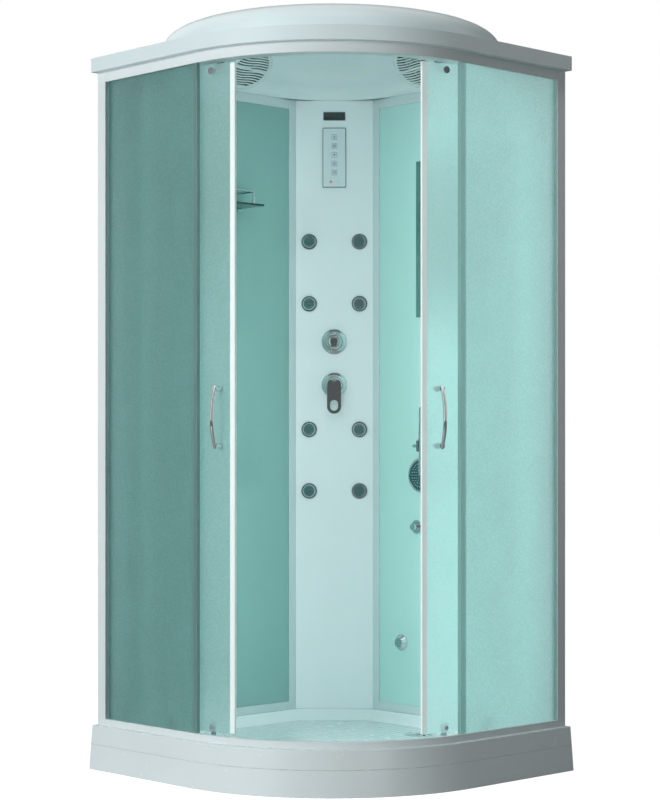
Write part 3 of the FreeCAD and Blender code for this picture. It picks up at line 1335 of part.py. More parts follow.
def make_pipes():
    """Two risers behind the jets, a cross pipe from the diverter and the hot and cold inlets."""
    radius = size("pipe_radius")
    bore = size("pipe_bore_radius")
    depth = -size("jet_barrel_depth") - size("jet_spigot_length") - radius
    across = size("jet_across")
    low = size("jet_row_low")
    high = size("jet_row_top")
    valve_back = -size("valve_depth")
    diverter = size("diverter_height")
    mixer = size("mixer_height")
    up = FreeCAD.Vector(0, 1, 0)
    side_on = FreeCAD.Vector(1, 0, 0)
    valve = size("valve_radius")
    foot = FreeCAD.Vector(-across, low - radius, depth)
    turn_off = FreeCAD.Vector(-across, diverter, depth)
    riser = []
    for reach in (radius, bore):
        pipe = Part.makeCylinder(reach, high - low + 2 * radius, foot, up)
        riser.append(pipe.fuse(Part.makeCylinder(reach, across - valve, turn_off, side_on)))
    riser = riser[0].cut(riser[1])
    twin = riser.copy()
    twin.rotate(FreeCAD.Vector(0, 0, depth), up, 180)
    trunk_start = FreeCAD.Vector(0, mixer + valve, depth)
    trunk = Part.makeCylinder(radius, diverter - mixer - 2 * valve, trunk_start, up)
    trunk = trunk.cut(Part.makeCylinder(bore, diverter - mixer - 2 * valve, trunk_start, up))

    corner = FreeCAD.Vector(-size("inlet_spacing") / 2, mixer, depth)
    back = FreeCAD.Vector(0, 0, -1)
    leg = Part.makeCylinder(radius, size("inlet_spacing") / 2 - valve, corner, side_on)
    elbow = Part.makeSphere(radius, corner)
    neck = Part.makeCylinder(radius, size("inlet_depth"), corner, back)
    thread = Part.makeCylinder(size("inlet_radius"), size("inlet_length"), corner + back * size("inlet_depth"), back)
    tail_bore = Part.makeCylinder(bore, size("inlet_depth") + size("inlet_length"), corner, back)
    inlet = leg.fuse(elbow).fuse(neck).fuse(thread).cut(tail_bore).removeSplitter()
    pieces = [riser, twin, trunk, inlet, inlet.mirror(FreeCAD.Vector(0, 0, 0), side_on)]
    place = FreeCAD.Placement(FreeCAD.Vector(0, value(BACK) - size("column_face"), 0), STAND_UP)
    keep(shaped("pipe_shapes", Part.makeCompound(pieces), place), "water_pipes")


def make_steam():
    """The steam generator on brackets behind the column, and its outlet on the right wall."""
    depth = "steam_depth"
    back = "-panel_thickness - steam_gap - steam_depth"
    tank = box("steam_tank", "steam_width", "steam_height", depth, "-steam_width / 2", "steam_low", back)
    brackets = []
    for name, place in (("low", "steam_low + steam_bracket"),
                        ("high", "steam_low + steam_height - 2 * steam_bracket")):
        brackets.append(box("steam_bracket_" + name, "steam_width / 2", "steam_bracket", "steam_gap",
                            "-steam_width / 4", place, "-panel_thickness - steam_gap"))
    neck = rod("steam_neck", "steam_pipe_radius", "steam_bracket", "steam_width / 4",
               "steam_low + steam_height + steam_bracket", back + " + steam_depth / 2",
               turn=FreeCAD.Rotation(FreeCAD.Vector(1, 0, 0), 90))
    generator = join("steam_generator_join", [tank, neck] + brackets)
    keep(put(generator, depth="column_face", turn=STAND_UP), "steam_generator")

    body = turned("steam_outlet_turned", (
        ("0", "-glass_thickness"), ("steam_pipe_radius", "-glass_thickness"), ("steam_pipe_radius", "0"),
        ("steam_outlet_radius", "0"), ("steam_outlet_radius", "steam_outlet_depth / 4"),
        ("steam_outlet_radius * 0.6", "steam_outlet_depth"), ("0", "steam_outlet_depth")))
    put_on_wall(body, RIGHT, "steam_outlet_along", "steam_outlet_height", "wall_glass_back + glass_thickness")
    keep(body, "steam_outlet")


# ---------------------------------------------------------------- wall fittings


def make_shelf():
    """The glass shelf on the left wall with its clamps and guard rail."""
    face = "wall_glass_back + glass_thickness"
    start = "-shelf_start - shelf_length"
    low = "shelf_top - shelf_thickness"
    pane = box("shelf_pane", "shelf_length", "shelf_thickness", "shelf_depth", start, low, face + " + shelf_gap")
    keep(put_on_wall(group("shelf_group", [pane]), LEFT), "shelf_glass")

    pieces = []
    for name, place in (("near", "-shelf_start - shelf_clamp_inset"),
                        ("far", "-shelf_start - shelf_length + shelf_clamp_inset")):
        block = box("clamp_" + name, "shelf_clamp_width", "shelf_clamp_height", "shelf_clamp_depth",
                    place + " - shelf_clamp_width / 2", low + " - shelf_clamp_height / 2", face)
        mouth = box("clamp_mouth_" + name, "shelf_clamp_width", "shelf_thickness", "shelf_clamp_depth",
                    place + " - shelf_clamp_width / 2", low, face + " + shelf_gap")
        pieces.append(cut("clamp_cut_" + name, block, mouth))
    out = face + " + shelf_gap + shelf_depth - shelf_rail_inset"
    high = "shelf_top + shelf_rail_rise"
    lie = FreeCAD.Rotation(FreeCAD.Vector(0, 1, 0), 90)
    stand = FreeCAD.Rotation(FreeCAD.Vector(1, 0, 0), -90)
    left_end = start + " + shelf_rail_end"
    right_end = "-shelf_start - shelf_rail_end"
    rail = [rod("guard_front", "shelf_rail_radius", "shelf_length - 2 * shelf_rail_end",
                left_end, high, out, lie)]
    for name, place in (("near", right_end), ("far", left_end)):
        rail.append(rod("guard_side_" + name, "shelf_rail_radius", "shelf_gap + shelf_depth - shelf_rail_inset",
                        place, high, face))
        rail.append(rod("guard_post_" + name, "shelf_rail_radius", "shelf_rail_rise", place, "shelf_top",
                        out, stand))
        rail.append(rod("guard_flange_" + name, "2.4 * shelf_rail_radius", "shelf_rail_radius", place, high, face))
    pieces.append(join("guard_rail", rail))
    keep(put_on_wall(group("shelf_rail_group", pieces), LEFT), "shelf_rail")


def make_mirror():
    """The mirror on the right wall with its four clips."""
    face = "wall_glass_back + glass_thickness"
    pane = box("mirror_pane", "mirror_width", "mirror_height", "mirror_thickness", "mirror_start",
               "mirror_low", face)
    keep(put_on_wall(group("mirror_group", [pane]), RIGHT), "mirror")
    clips = []
    for x_name, x_place in (("near", "mirror_start + clip_inset"),
                            ("far", "mirror_start + mirror_width - clip_inset")):
        for y_name, y_place in (("low", "mirror_low"), ("high", "mirror_low + mirror_height")):
            name = "clip_%s_%s" % (x_name, y_name)
            block = box(name, "clip_width", "clip_height", "mirror_thickness + clip_lip",
                        x_place + " - clip_width / 2", y_place + " - clip_height / 2", face)
            room = box(name + "_room", "mirror_width", "mirror_height", "mirror_thickness",
                       "mirror_start", "mirror_low", face)
            clips.append(cut(name + "_cut", block, room))
    keep(put_on_wall(group("mirror_clip_group", clips), RIGHT), "mirror_clips")


def make_hand_shower():
    """The wall holder with the hose outlet below it, and the hand shower hanging in it."""
    face = "wall_glass_back + glass_thickness"
    stand = FreeCAD.Rotation(FreeCAD.Vector(1, 0, 0), -90)
    across = FreeCAD.Rotation(FreeCAD.Vector(0, 1, 0), -90)
    plate = rod("holder_plate_disc", "holder_radius", "holder_plate", "holder_along", "holder_height", face)
    arm = rod("holder_arm", "holder_arm_radius", "holder_reach", "holder_along", "holder_height", face)
    cradle = rod("holder_cradle", "cradle_radius", "cradle_height", "holder_along",
                 "holder_height - cradle_height / 2", face + " + holder_reach", stand)
    knob = rod("holder_knob", "holder_knob_radius", "cradle_radius + holder_knob_length", "holder_along",
               "holder_height", face + " + holder_reach", across)
    bore = rod("holder_bore", "grip_radius + grip_clearance", "2 * cradle_height", "holder_along",
               "holder_height - cradle_height", face + " + holder_reach", stand)
    mouth = box("holder_mouth", "2 * (grip_radius + grip_clearance)", "2 * cradle_height", "2 * cradle_radius",
                "holder_along - grip_radius - grip_clearance", "holder_height - cradle_height",
                face + " + holder_reach")
    holder = cut("holder_cut", join("holder_solid", [plate, arm, cradle, knob]), [bore, mouth])
    outlet = join("hose_outlet_join", [
        rod("hose_outlet", "hose_outlet_radius", "hose_outlet_length", "hose_outlet_along",
            "hose_outlet_height", face),
        rod("hose_outlet_rose", "2 * hose_outlet_radius", "holder_plate", "hose_outlet_along",
            "hose_outlet_height", face),
        rod("hose_outlet_tail", "pipe_radius", "glass_thickness", "hose_outlet_along",
            "hose_outlet_height", "wall_glass_back"),
    ])
    keep(put_on_wall(group("holder_group", [holder, outlet]), RIGHT), "handset_holder")

    radius = size("head_radius")
    thick = size("head_thickness")
    drop = size("head_drop")
    grip = size("grip_radius")
    middle = FreeCAD.Vector(0, -drop, -thick / 2)
    head = Part.makeCylinder(radius, thick / 2, middle)
    head = head.fuse(Part.makeCone(size("head_back_radius"), radius, thick / 2, middle - FreeCAD.Vector(0, 0, thick / 2)))
    handle = Part.makeCylinder(grip, size("grip_length"), FreeCAD.Vector(0, -drop, -thick / 2),
                               FreeCAD.Vector(0, 1, 0))
    thread = Part.makeCylinder(size("hose_outlet_radius"), size("hose_outlet_length") / 2,
                               FreeCAD.Vector(0, size("grip_length") - drop, -thick / 2), FreeCAD.Vector(0, 1, 0))
    collar = Part.makeCylinder(size("grip_collar_radius"), size("holder_plate"))
    collar.rotate(FreeCAD.Vector(0, 0, 0), FreeCAD.Vector(1, 0, 0), -90)
    collar.translate(FreeCAD.Vector(0, size("cradle_height") / 2 + size("grip_clearance"), -thick / 2))
    handset = head.fuse(handle).fuse(thread).fuse(collar)
    count = int(size("head_nozzle_count"))
    for index in range(count):
        turn = 2 * math.pi * index / count
        ring = size("head_nozzle_ring")
        spot = FreeCAD.Vector(ring * math.cos(turn), ring * math.sin(turn) - drop, -thick / 8)
        handset = handset.cut(Part.makeCylinder(size("head_nozzle_radius"), thick, spot))
    handset = handset.removeSplitter()
    piece = shaped("handset_shape", handset, FreeCAD.Placement())
    put_on_wall(piece, RIGHT, "holder_along", "holder_height",
                "wall_glass_back + glass_thickness + holder_reach + head_thickness / 2")
    keep(piece, "handset")


# ---------------------------------------------------------------- sliding doors


def track_point(distance, radius):
    """A point of the left track, a distance from the middle of the front."""
    start = size("cabin_side") - size("front_radius")
    bend = radius * math.pi / 4
    if distance <= bend:
        angle = math.pi / 4 - distance / radius
        return (start + radius * math.cos(angle), start + radius * math.sin(angle))
    return (start + radius, start - (distance - bend))


def door_swing():
    """The pole in the wall frame and the turn in degrees that carry the closed left door open.

    Both wheels lie on the track when the door is closed and when it is open, so the motion is a
    turn about one upright line; between the two the wheels leave the track by a few millimetres.
    """
    radius = size("door_track_radius")
    front = radius * math.radians(size("front_wheel_angle"))
    rear = radius * math.radians(size("rear_wheel_angle"))
    first = track_point(front, radius)
    second = track_point(rear, radius)
    spacing = math.dist(first, second)
    closed = math.atan2(second[1] - first[1], second[0] - first[0])
    start = size("cabin_side") - size("front_radius")
    edge_angle = math.radians(45 - size("door_seal_start"))
    edge_radius = size("door_glass_radius") + size("glass_thickness") / 2
    edge = (start + edge_radius * math.cos(edge_angle), start + edge_radius * math.sin(edge_angle))

    def opened(distance):
        here = track_point(distance, radius)
        near, far = distance, distance + 2 * spacing
        for _ in range(60):
            middle = (near + far) / 2
            if math.dist(here, track_point(middle, radius)) < spacing:
                near = middle
            else:
                far = middle
        other = track_point(near, radius)
        return here, math.atan2(other[1] - here[1], other[0] - here[0]) - closed

    near, far = front, front + size("front_radius")
    for _ in range(60):
        middle = (near + far) / 2
        here, turn = opened(middle)
        x = here[0] + (edge[0] - first[0]) * math.cos(turn) - (edge[1] - first[1]) * math.sin(turn)
        y = here[1] + (edge[0] - first[0]) * math.sin(turn) + (edge[1] - first[1]) * math.cos(turn)
        if (x - y) / math.sqrt(2) < size("door_opening") / 2:
            near = middle
        else:
            far = middle
    here, turn = opened(near)
    step = (here[0] - first[0], here[1] - first[1])
    share = 1 / (2 * math.tan(turn / 2))
    pole = ((here[0] + first[0]) / 2 - step[1] * share, (here[1] + first[1]) / 2 + step[0] * share)
    return pole, math.degrees(turn)


def door_place(side):
    """Placement that carries a door drawn closed to its open rest."""
    pole, turn = door_swing()
    if side == RIGHT:
        pole = (pole[1], pole[0])
        turn = -turn
    swing = FreeCAD.Placement(vector(0, 0), FreeCAD.Rotation(UP, turn), vector(pole[0], pole[1]))
    return wall_place() * swing


def door_angle(side, angle):
    """An angle from the middle of the front as an angle of the wall frame."""
    return 45 + side * angle


def door_frame(side, angle, height):
    """A frame on the front circle: x outwards, z up."""
    start = size("cabin_side") - size("front_radius")
    turn = FreeCAD.Rotation(UP, door_angle(side, angle))
    return FreeCAD.Placement(vector(start, start, height), turn)


def door_arc(side, inner, outer, first, last, low, high):
    """A curved strip of the front circle between two angles."""
    start = size("cabin_side") - size("front_radius")
    angles = sorted((door_angle(side, first), door_angle(side, last)))
    outer_arc = arc_about((start, start), outer, angles[0], angles[1], low)
    inner_arc = arc_about((start, start), inner, angles[1], angles[0], low)
    ends = [edge.valueAt(edge.LastParameter) for edge in (outer_arc, inner_arc)]
    starts = [edge.valueAt(edge.FirstParameter) for edge in (inner_arc, outer_arc)]
    edges = [outer_arc, Part.makeLine(ends[0], starts[0]), inner_arc, Part.makeLine(ends[1], starts[1])]
    return Part.Face(Part.Wire(edges)).extrude(vector(0, 0, high - low))


def along_radius(side, angle, height, inner, outer, radius):
    """A rod that points out of the front circle."""
    piece = Part.makeCylinder(radius, outer - inner, FreeCAD.Vector(inner, 0, 0), FreeCAD.Vector(1, 0, 0))
    piece.Placement = door_frame(side, angle, height)
    return piece


def radial_block(side, angle, inner, outer, width, low, high):
    """A block across the front circle."""
    piece = Part.makeBox(outer - inner, width, high - low, FreeCAD.Vector(inner, -width / 2, 0))
    piece.Placement = door_frame(side, angle, low)
    return piece


def bolt_places():
    """Angle and height of each bolt through a door's glass."""
    half = size("handle_spacing") / 2
    arm = size("hanger_arm_low") + size("hanger_arm_height") / 2
    return (
        (size("front_wheel_angle"), arm), (size("rear_wheel_angle"), arm),
        (size("front_guide_angle"), size("guide_height")), (size("rear_guide_angle"), size("guide_height")),
        (size("handle_angle"), size("handle_height") - half), (size("handle_angle"), size("handle_height") + half),
    )


def make_door_glass(side, name):
    """The curved pane with its bolt holes."""
    inner = size("door_glass_radius")
    outer = inner + size("glass_thickness")
    pane = door_arc(side, inner, outer, size("door_lead_angle"), size("door_tail_angle"),
                    value(DOOR_LOW), value(DOOR_HIGH))
    radius = size("bolt_radius") + size("bolt_clearance")
    for angle, height in bolt_places():
        pane = pane.cut(along_radius(side, angle, height, inner - 5, outer + 5, radius))
    keep(shaped(name + "_glass_shape", pane, door_place(side)), name + "_door_glass")


def make_door_seals(side, name):
    """The white profiles on the two upright edges of the pane."""
    inner = size("door_glass_radius")
    outer = inner + size("glass_thickness")
    cheek = size("door_seal_cheek")
    low = value(DOOR_LOW)
    high = value(DOOR_HIGH)
    lead = size("door_lead_angle")
    tail = size("door_tail_angle")
    start = size("door_seal_start")
    front = door_arc(side, inner - cheek, outer + cheek, start, start + size("door_seal_angle"), low, high)
    beyond = lead - start
    rear = door_arc(side, inner - cheek, outer + cheek, tail - size("door_tail_seal_angle"), tail + beyond,
                    low, high)
    pane = door_arc(side, inner, outer, lead, tail, low, high)
    seals = Part.makeCompound([front.cut(pane), rear.cut(pane)])
    keep(shaped(name + "_seal_shapes", seals, door_place(side)), name + "_door_seals")


def make_handle(side, name):
    """The chrome bow outside with its two standoffs, through bolts and rosettes."""
    face = size("door_glass_radius") + size("glass_thickness")
    angle = size("handle_angle")
    middle = size("handle_height")
    half = size("handle_length") / 2
    spacing = size("handle_spacing") / 2
    near = face + size("handle_end_reach")
    far = face + size("handle_mid_reach")
    bar = size("handle_bar_radius")
    ends = [FreeCAD.Vector(near, 0, -half + bar), FreeCAD.Vector(near, 0, half - bar)]
    bow = Part.Arc(ends[0], FreeCAD.Vector(far, 0, 0), ends[1]).toShape()
    start = bow.tangentAt(bow.FirstParameter)
    ring = Part.Wire(Part.Circle(ends[0], start, bar).toShape())
    handle = Part.Wire(bow).makePipeShell([ring], True, True)
    for end in ends:
        handle = handle.fuse(Part.makeSphere(bar, end))
    handle.Placement = door_frame(side, angle, middle)
    inner = size("door_glass_radius")
    bow_radius = ((far - near) ** 2 + (half - bar) ** 2) / (2 * (far - near))
    at_post = far - bow_radius + math.sqrt(bow_radius ** 2 - spacing ** 2)
    for height in (middle - spacing, middle + spacing):
        handle = handle.fuse(along_radius(side, angle, height, face, at_post, size("handle_foot_radius")))
        handle = handle.fuse(along_radius(side, angle, height, inner - 1, face + 1, size("bolt_radius")))
        flat = math.sqrt(inner ** 2 - size("handle_rose_radius") ** 2)
        rose = along_radius(side, angle, height, flat - size("handle_rose_height"), flat,
                            size("handle_rose_radius"))
        handle = handle.fuse(rose)
    keep(shaped(name + "_handle_shape", handle.removeSplitter(), door_place(side)), name + "_handle")


def make_carriers(side, name):
    """What holds a door: two hangers with their axles above, two guides in the rail below."""
    inner = size("door_glass_radius")
    outer = inner + size("glass_thickness")
    track = size("door_track_radius")
    plate_in = track - size("hanger_reach")
    plate_out = plate_in + size("hanger_plate")
    arm_low = size("hanger_arm_low")
    arm_high = arm_low + size("hanger_arm_height")
    arm_middle = (arm_low + arm_high) / 2
    width = size("hanger_width")
    bolt = size("bolt_radius")
    axle = value(AXLE_HEIGHT)
    half_wheel = size("wheel_width") / 2
    pieces = []
    for angle in (size("front_wheel_angle"), size("rear_wheel_angle")):
        flat = inner * math.cos(math.asin(width / 2 / inner))
        hanger = radial_block(side, angle, plate_in, flat, width, arm_low, arm_high)
        hanger = hanger.fuse(radial_block(side, angle, plate_in, plate_out, width, arm_low, size("hanger_top")))
        hanger = hanger.fuse(along_radius(side, angle, axle, plate_in, track + half_wheel + 1, size("axle_radius")))
        hanger = hanger.fuse(along_radius(side, angle, arm_middle, flat - 2, outer + 1, bolt))
        head = along_radius(side, angle, arm_middle, outer, outer + size("bolt_head_height"),
                            size("bolt_head_radius"))
        pieces.append(hanger.fuse(head).removeSplitter())
    height = size("guide_height")
    block = size("guide_block_height")
    foot = size("guide_foot_depth")
    for angle in (size("front_guide_angle"), size("rear_guide_angle")):
        flat = inner * math.cos(math.asin(size("guide_width") / 2 / inner))
        guide = radial_block(side, angle, flat - size("guide_block_depth"), flat, size("guide_width"),
                             height - block / 2, height + block / 2)
        guide = guide.fuse(radial_block(side, angle, flat - size("guide_block_depth"),
                                        flat - size("guide_block_depth") + foot, size("guide_foot_width"),
                                        size("guide_foot_low"), height))
        guide = guide.fuse(along_radius(side, angle, height, flat - 2, outer + 1, bolt))
        cap = along_radius(side, angle, height, outer, outer + size("guide_cap_height"), size("guide_cap_radius"))
        pieces.append(guide.fuse(cap).removeSplitter())
    keep(shaped(name + "_carrier_shapes", Part.makeCompound(pieces), door_place(side)), name + "_door_carriers")


def make_wheels(side, name):
    """The two top wheels of a door, each with a shallow groove round its tread."""
    track = size("door_track_radius")
    half = size("wheel_width") / 2
    radius = size("wheel_radius")
    groove = size("wheel_groove")
    bore = size("axle_radius") + size("axle_clearance")
    section = ((-half, bore), (half, bore), (half, radius), (half / 2, radius), (0, radius - groove),
               (-half / 2, radius), (-half, radius), (-half, bore))
    profile = Part.makePolygon([FreeCAD.Vector(track + x, y, 0) for x, y in section])
    for end, angle in (("front", size("front_wheel_angle")), ("rear", size("rear_wheel_angle"))):
        wheel = Part.Face(profile).revolve(FreeCAD.Vector(0, 0, 0), FreeCAD.Vector(1, 0, 0), 360)
        place = door_place(side) * door_frame(side, angle, value(AXLE_HEIGHT))
        label = "%s_%s_wheel" % (name, end)
        keep(shaped(label + "_shape", wheel, place), label)


def make_doors():
    """Both doors with everything that rides on them, in their open rest."""
    for side, name in ((LEFT, "left"), (RIGHT, "right")):
        make_door_glass(side, name)
        make_door_seals(side, name)
        make_handle(side, name)
        make_carriers(side, name)
        make_wheels(side, name)


# ---------------------------------------------------------------- build and write


def check_document():
    """Stop if an object failed or a sub-part has no sound shape."""
    for item in doc.Objects:
        if "Invalid" in item.State or "Error" in item.State:
            raise RuntimeError("%s (%s) failed: %s" % (item.Name, item.Label, item.State))
    for piece in PIECES:
        if piece.Shape.isNull() or not piece.Shape.isValid() or not piece.Shape.Solids:
            raise RuntimeError("%s has no sound shape" % piece.Label)


def build():
    """Make every sub-part, check it and write it."""
    make_tray()
    make_tray_frame()
    make_tray_feet()
    make_drain()
    make_rails()
    make_posts()
    make_side_panels()
    make_walls()
    make_column()
    make_roof()
    make_grilles()
    make_speaker_and_fan()
    make_display()
    make_valves()
    make_lever()
    make_jets()
    make_pipes()
    make_steam()
    make_shelf()
    make_mirror()
    make_hand_shower()
    make_doors()
    doc.recompute()
    check_document()
    os.makedirs("parts", exist_ok=True)
    for piece in PIECES:
        piece.Shape.exportStep("parts/%s.step" % piece.Label)
        print("%-22s %2d solids %10.0f mm3" % (piece.Label, len(piece.Shape.Solids), piece.Shape.Volume))
    pole, turn = door_swing()
    print("sub-parts %d, door pole %.1f %.1f in the wall frame, turn %.2f degrees" % (
        len(PIECES), pole[0], pole[1], turn))


build()
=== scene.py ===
"""Steam shower cabin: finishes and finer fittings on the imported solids.

Places are the source's own: metres, +Z up, the doorway towards -Y, the room's corner at +Y.
Fittings are drawn in millimetres in the frame of the face they stand on: x to the right,
y up, z out of the face.
"""

from __future__ import annotations

import json
import logging
import math
from dataclasses import dataclass, field
from enum import Enum
from typing import Iterable, Sequence

import bmesh
import bpy
from mathutils import Matrix, Vector

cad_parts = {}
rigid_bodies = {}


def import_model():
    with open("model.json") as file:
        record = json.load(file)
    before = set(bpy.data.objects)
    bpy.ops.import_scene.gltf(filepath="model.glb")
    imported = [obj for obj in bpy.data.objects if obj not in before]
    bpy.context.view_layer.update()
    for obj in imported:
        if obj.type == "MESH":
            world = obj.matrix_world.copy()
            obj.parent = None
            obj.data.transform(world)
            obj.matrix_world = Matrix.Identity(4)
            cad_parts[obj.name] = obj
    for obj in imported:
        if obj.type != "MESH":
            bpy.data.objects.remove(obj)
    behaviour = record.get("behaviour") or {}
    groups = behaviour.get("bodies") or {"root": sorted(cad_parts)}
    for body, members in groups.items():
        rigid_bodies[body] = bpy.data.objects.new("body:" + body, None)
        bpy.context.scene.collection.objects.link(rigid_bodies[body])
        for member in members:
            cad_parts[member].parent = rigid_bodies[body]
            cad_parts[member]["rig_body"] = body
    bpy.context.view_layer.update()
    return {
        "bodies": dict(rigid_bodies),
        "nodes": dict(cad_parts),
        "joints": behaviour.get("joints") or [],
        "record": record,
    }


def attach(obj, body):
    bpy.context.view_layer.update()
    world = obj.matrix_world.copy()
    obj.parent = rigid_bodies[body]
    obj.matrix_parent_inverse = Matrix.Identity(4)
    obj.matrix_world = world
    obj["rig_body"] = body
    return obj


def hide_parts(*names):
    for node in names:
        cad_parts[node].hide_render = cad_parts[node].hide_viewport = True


LOG = logging.getLogger("shower_cabin")

MILLIMETRE = 0.001
BACK_CORNER = 0.599198
COLUMN_FACE = 0.433198
FLAT_ANGLE = 0.8
GLASS_INDEX = 1.45
SHADOW_TINT = (0.86, 0.97, 0.95, 1.0)

Colour = tuple[float, float, float, float]
Point = tuple[float, float, float]
Rings = tuple[tuple[int, float], ...]


def tone(red: int, green: int, blue: int) -> Colour:
    """Linear colour of three display values from 0 to 255.

    Args:
        red: Red on the screen.
        green: Green on the screen.
        blue: Blue on the screen.

    Returns:
        The same colour as the shader reads it.
    """
    parts = []
    for value in (red, green, blue):
        share = value / 255
        parts.append(share / 12.92 if share <= 0.04045 else ((share + 0.055) / 1.055) ** 2.4)
    return (parts[0], parts[1], parts[2], 1.0)


class Side(Enum):
    """Left or right as seen from the front."""

    LEFT = -1
    RIGHT = 1

    @property
    def word(self) -> str:
        """The side's name in lower case."""
        return self.name.lower()


class Finish(Enum):
    """Every finish of the cabin."""

    ACRYLIC = "acrylic"
    FLOOR = "acrylic_floor"
    CEILING = "ceiling_acrylic"
    WHITE_FRAME = "white_frame"
    WALL_BAR = "wall_bar"
    LEFT_FROST = "left_frost"
    LEFT_DOOR = "left_door_frost"
    RIGHT_FROST = "right_frost"
    RIGHT_DOOR = "right_door_frost"
    LEFT_WALL = "left_wall"
    RIGHT_WALL = "right_wall"
    CLEAR = "clear_glass"
    MIRROR = "mirror"
    CHROME = "chrome"
    SMOKED = "smoked_face"
    NUB = "rubber_nub"
    SEAL = "seal"
    EDGE = "edge_profile"
    BRASS = "brass"
    PIPE = "pipe"
    STEEL = "steel"
    BLACK = "black_plastic"
    GRILLE = "grille"
    PANEL = "panel"
    PANEL_LINE = "panel_line"
    KEY = "key"
    LAMP = "lamp"
    BADGE = "badge"
    NYLON = "nylon"
    WASTE = "waste_grey"


# ---------------------------------------------------------------- shader wiring


@dataclass
class Wiring:
    """Places and links nodes in one tree."""

    tree: bpy.types.NodeTree

    def add(self, kind: str, feeds: dict | None = None, **settings: object) -> bpy.types.Node:
        """Place a node.

        Args:
            kind: The node's type.
            feeds: Input name or index to a value or to a socket that feeds it.
            **settings: Attributes of the node.

        Returns:
            The node.
        """
        node = self.tree.nodes.new(kind)
        for key, setting in settings.items():
            setattr(node, key, setting)
        self.feed(node, feeds or {})
        return node

    def feed(self, node: bpy.types.Node, feeds: dict) -> None:
        """Set or link a node's inputs, each by name or index from a value or a socket."""
        for key, feed in feeds.items():
            if isinstance(feed, bpy.types.NodeSocket):
                self.tree.links.new(feed, node.inputs[key])
            else:
                node.inputs[key].default_value = feed

    def math(self, operation: str, first: object, second: object = 0.0, clamp: bool = False) -> bpy.types.NodeSocket:
        """One step of arithmetic; returns its result socket."""
        return self.add("ShaderNodeMath", {0: first, 1: second}, operation=operation, use_clamp=clamp).outputs[0]

    def place(self) -> bpy.types.NodeSocket:
        """The point of the surface in the object's own coordinates."""
        return self.add("ShaderNodeTexCoord").outputs["Object"]

    def noise(self, scale: object, detail: float = 3.0,
              where: bpy.types.NodeSocket | None = None) -> bpy.types.NodeSocket:
        """A cloud pattern from 0 to 1."""
        feeds = {"Vector": where or self.place(), "Scale": scale, "Detail": detail, "Roughness": 0.6}
        return self.add("ShaderNodeTexNoise", feeds).outputs["Fac"]

    def ramp(self, amount: bpy.types.NodeSocket, low: float, high: float) -> bpy.types.NodeSocket:
        """Stretch a value so that low becomes 0 and high becomes 1."""
        feeds = {"Value": amount, "From Min": low, "From Max": high}
        return self.add("ShaderNodeMapRange", feeds, clamp=True).outputs["Result"]

    def mix(self, amount: object, first: object, second: object) -> bpy.types.NodeSocket:
        """Blend two colours."""
        return self.add("ShaderNodeMix", {0: amount, 6: first, 7: second}, data_type="RGBA").outputs[2]

    def bump(self, height: bpy.types.NodeSocket, strength: object, distance: float) -> bpy.types.NodeSocket:
        """A relief as a normal."""
        feeds = {"Height": height, "Strength": strength, "Distance": distance}
        return self.add("ShaderNodeBump", feeds).outputs["Normal"]


def blank_material(name: str) -> tuple[bpy.types.Material, Wiring, bpy.types.Node]:
    """A new material, its wiring and its shader."""
    material = bpy.data.materials.new(name)
    material.use_nodes = True
    return material, Wiring(material.node_tree), material.node_tree.nodes["Principled BSDF"]


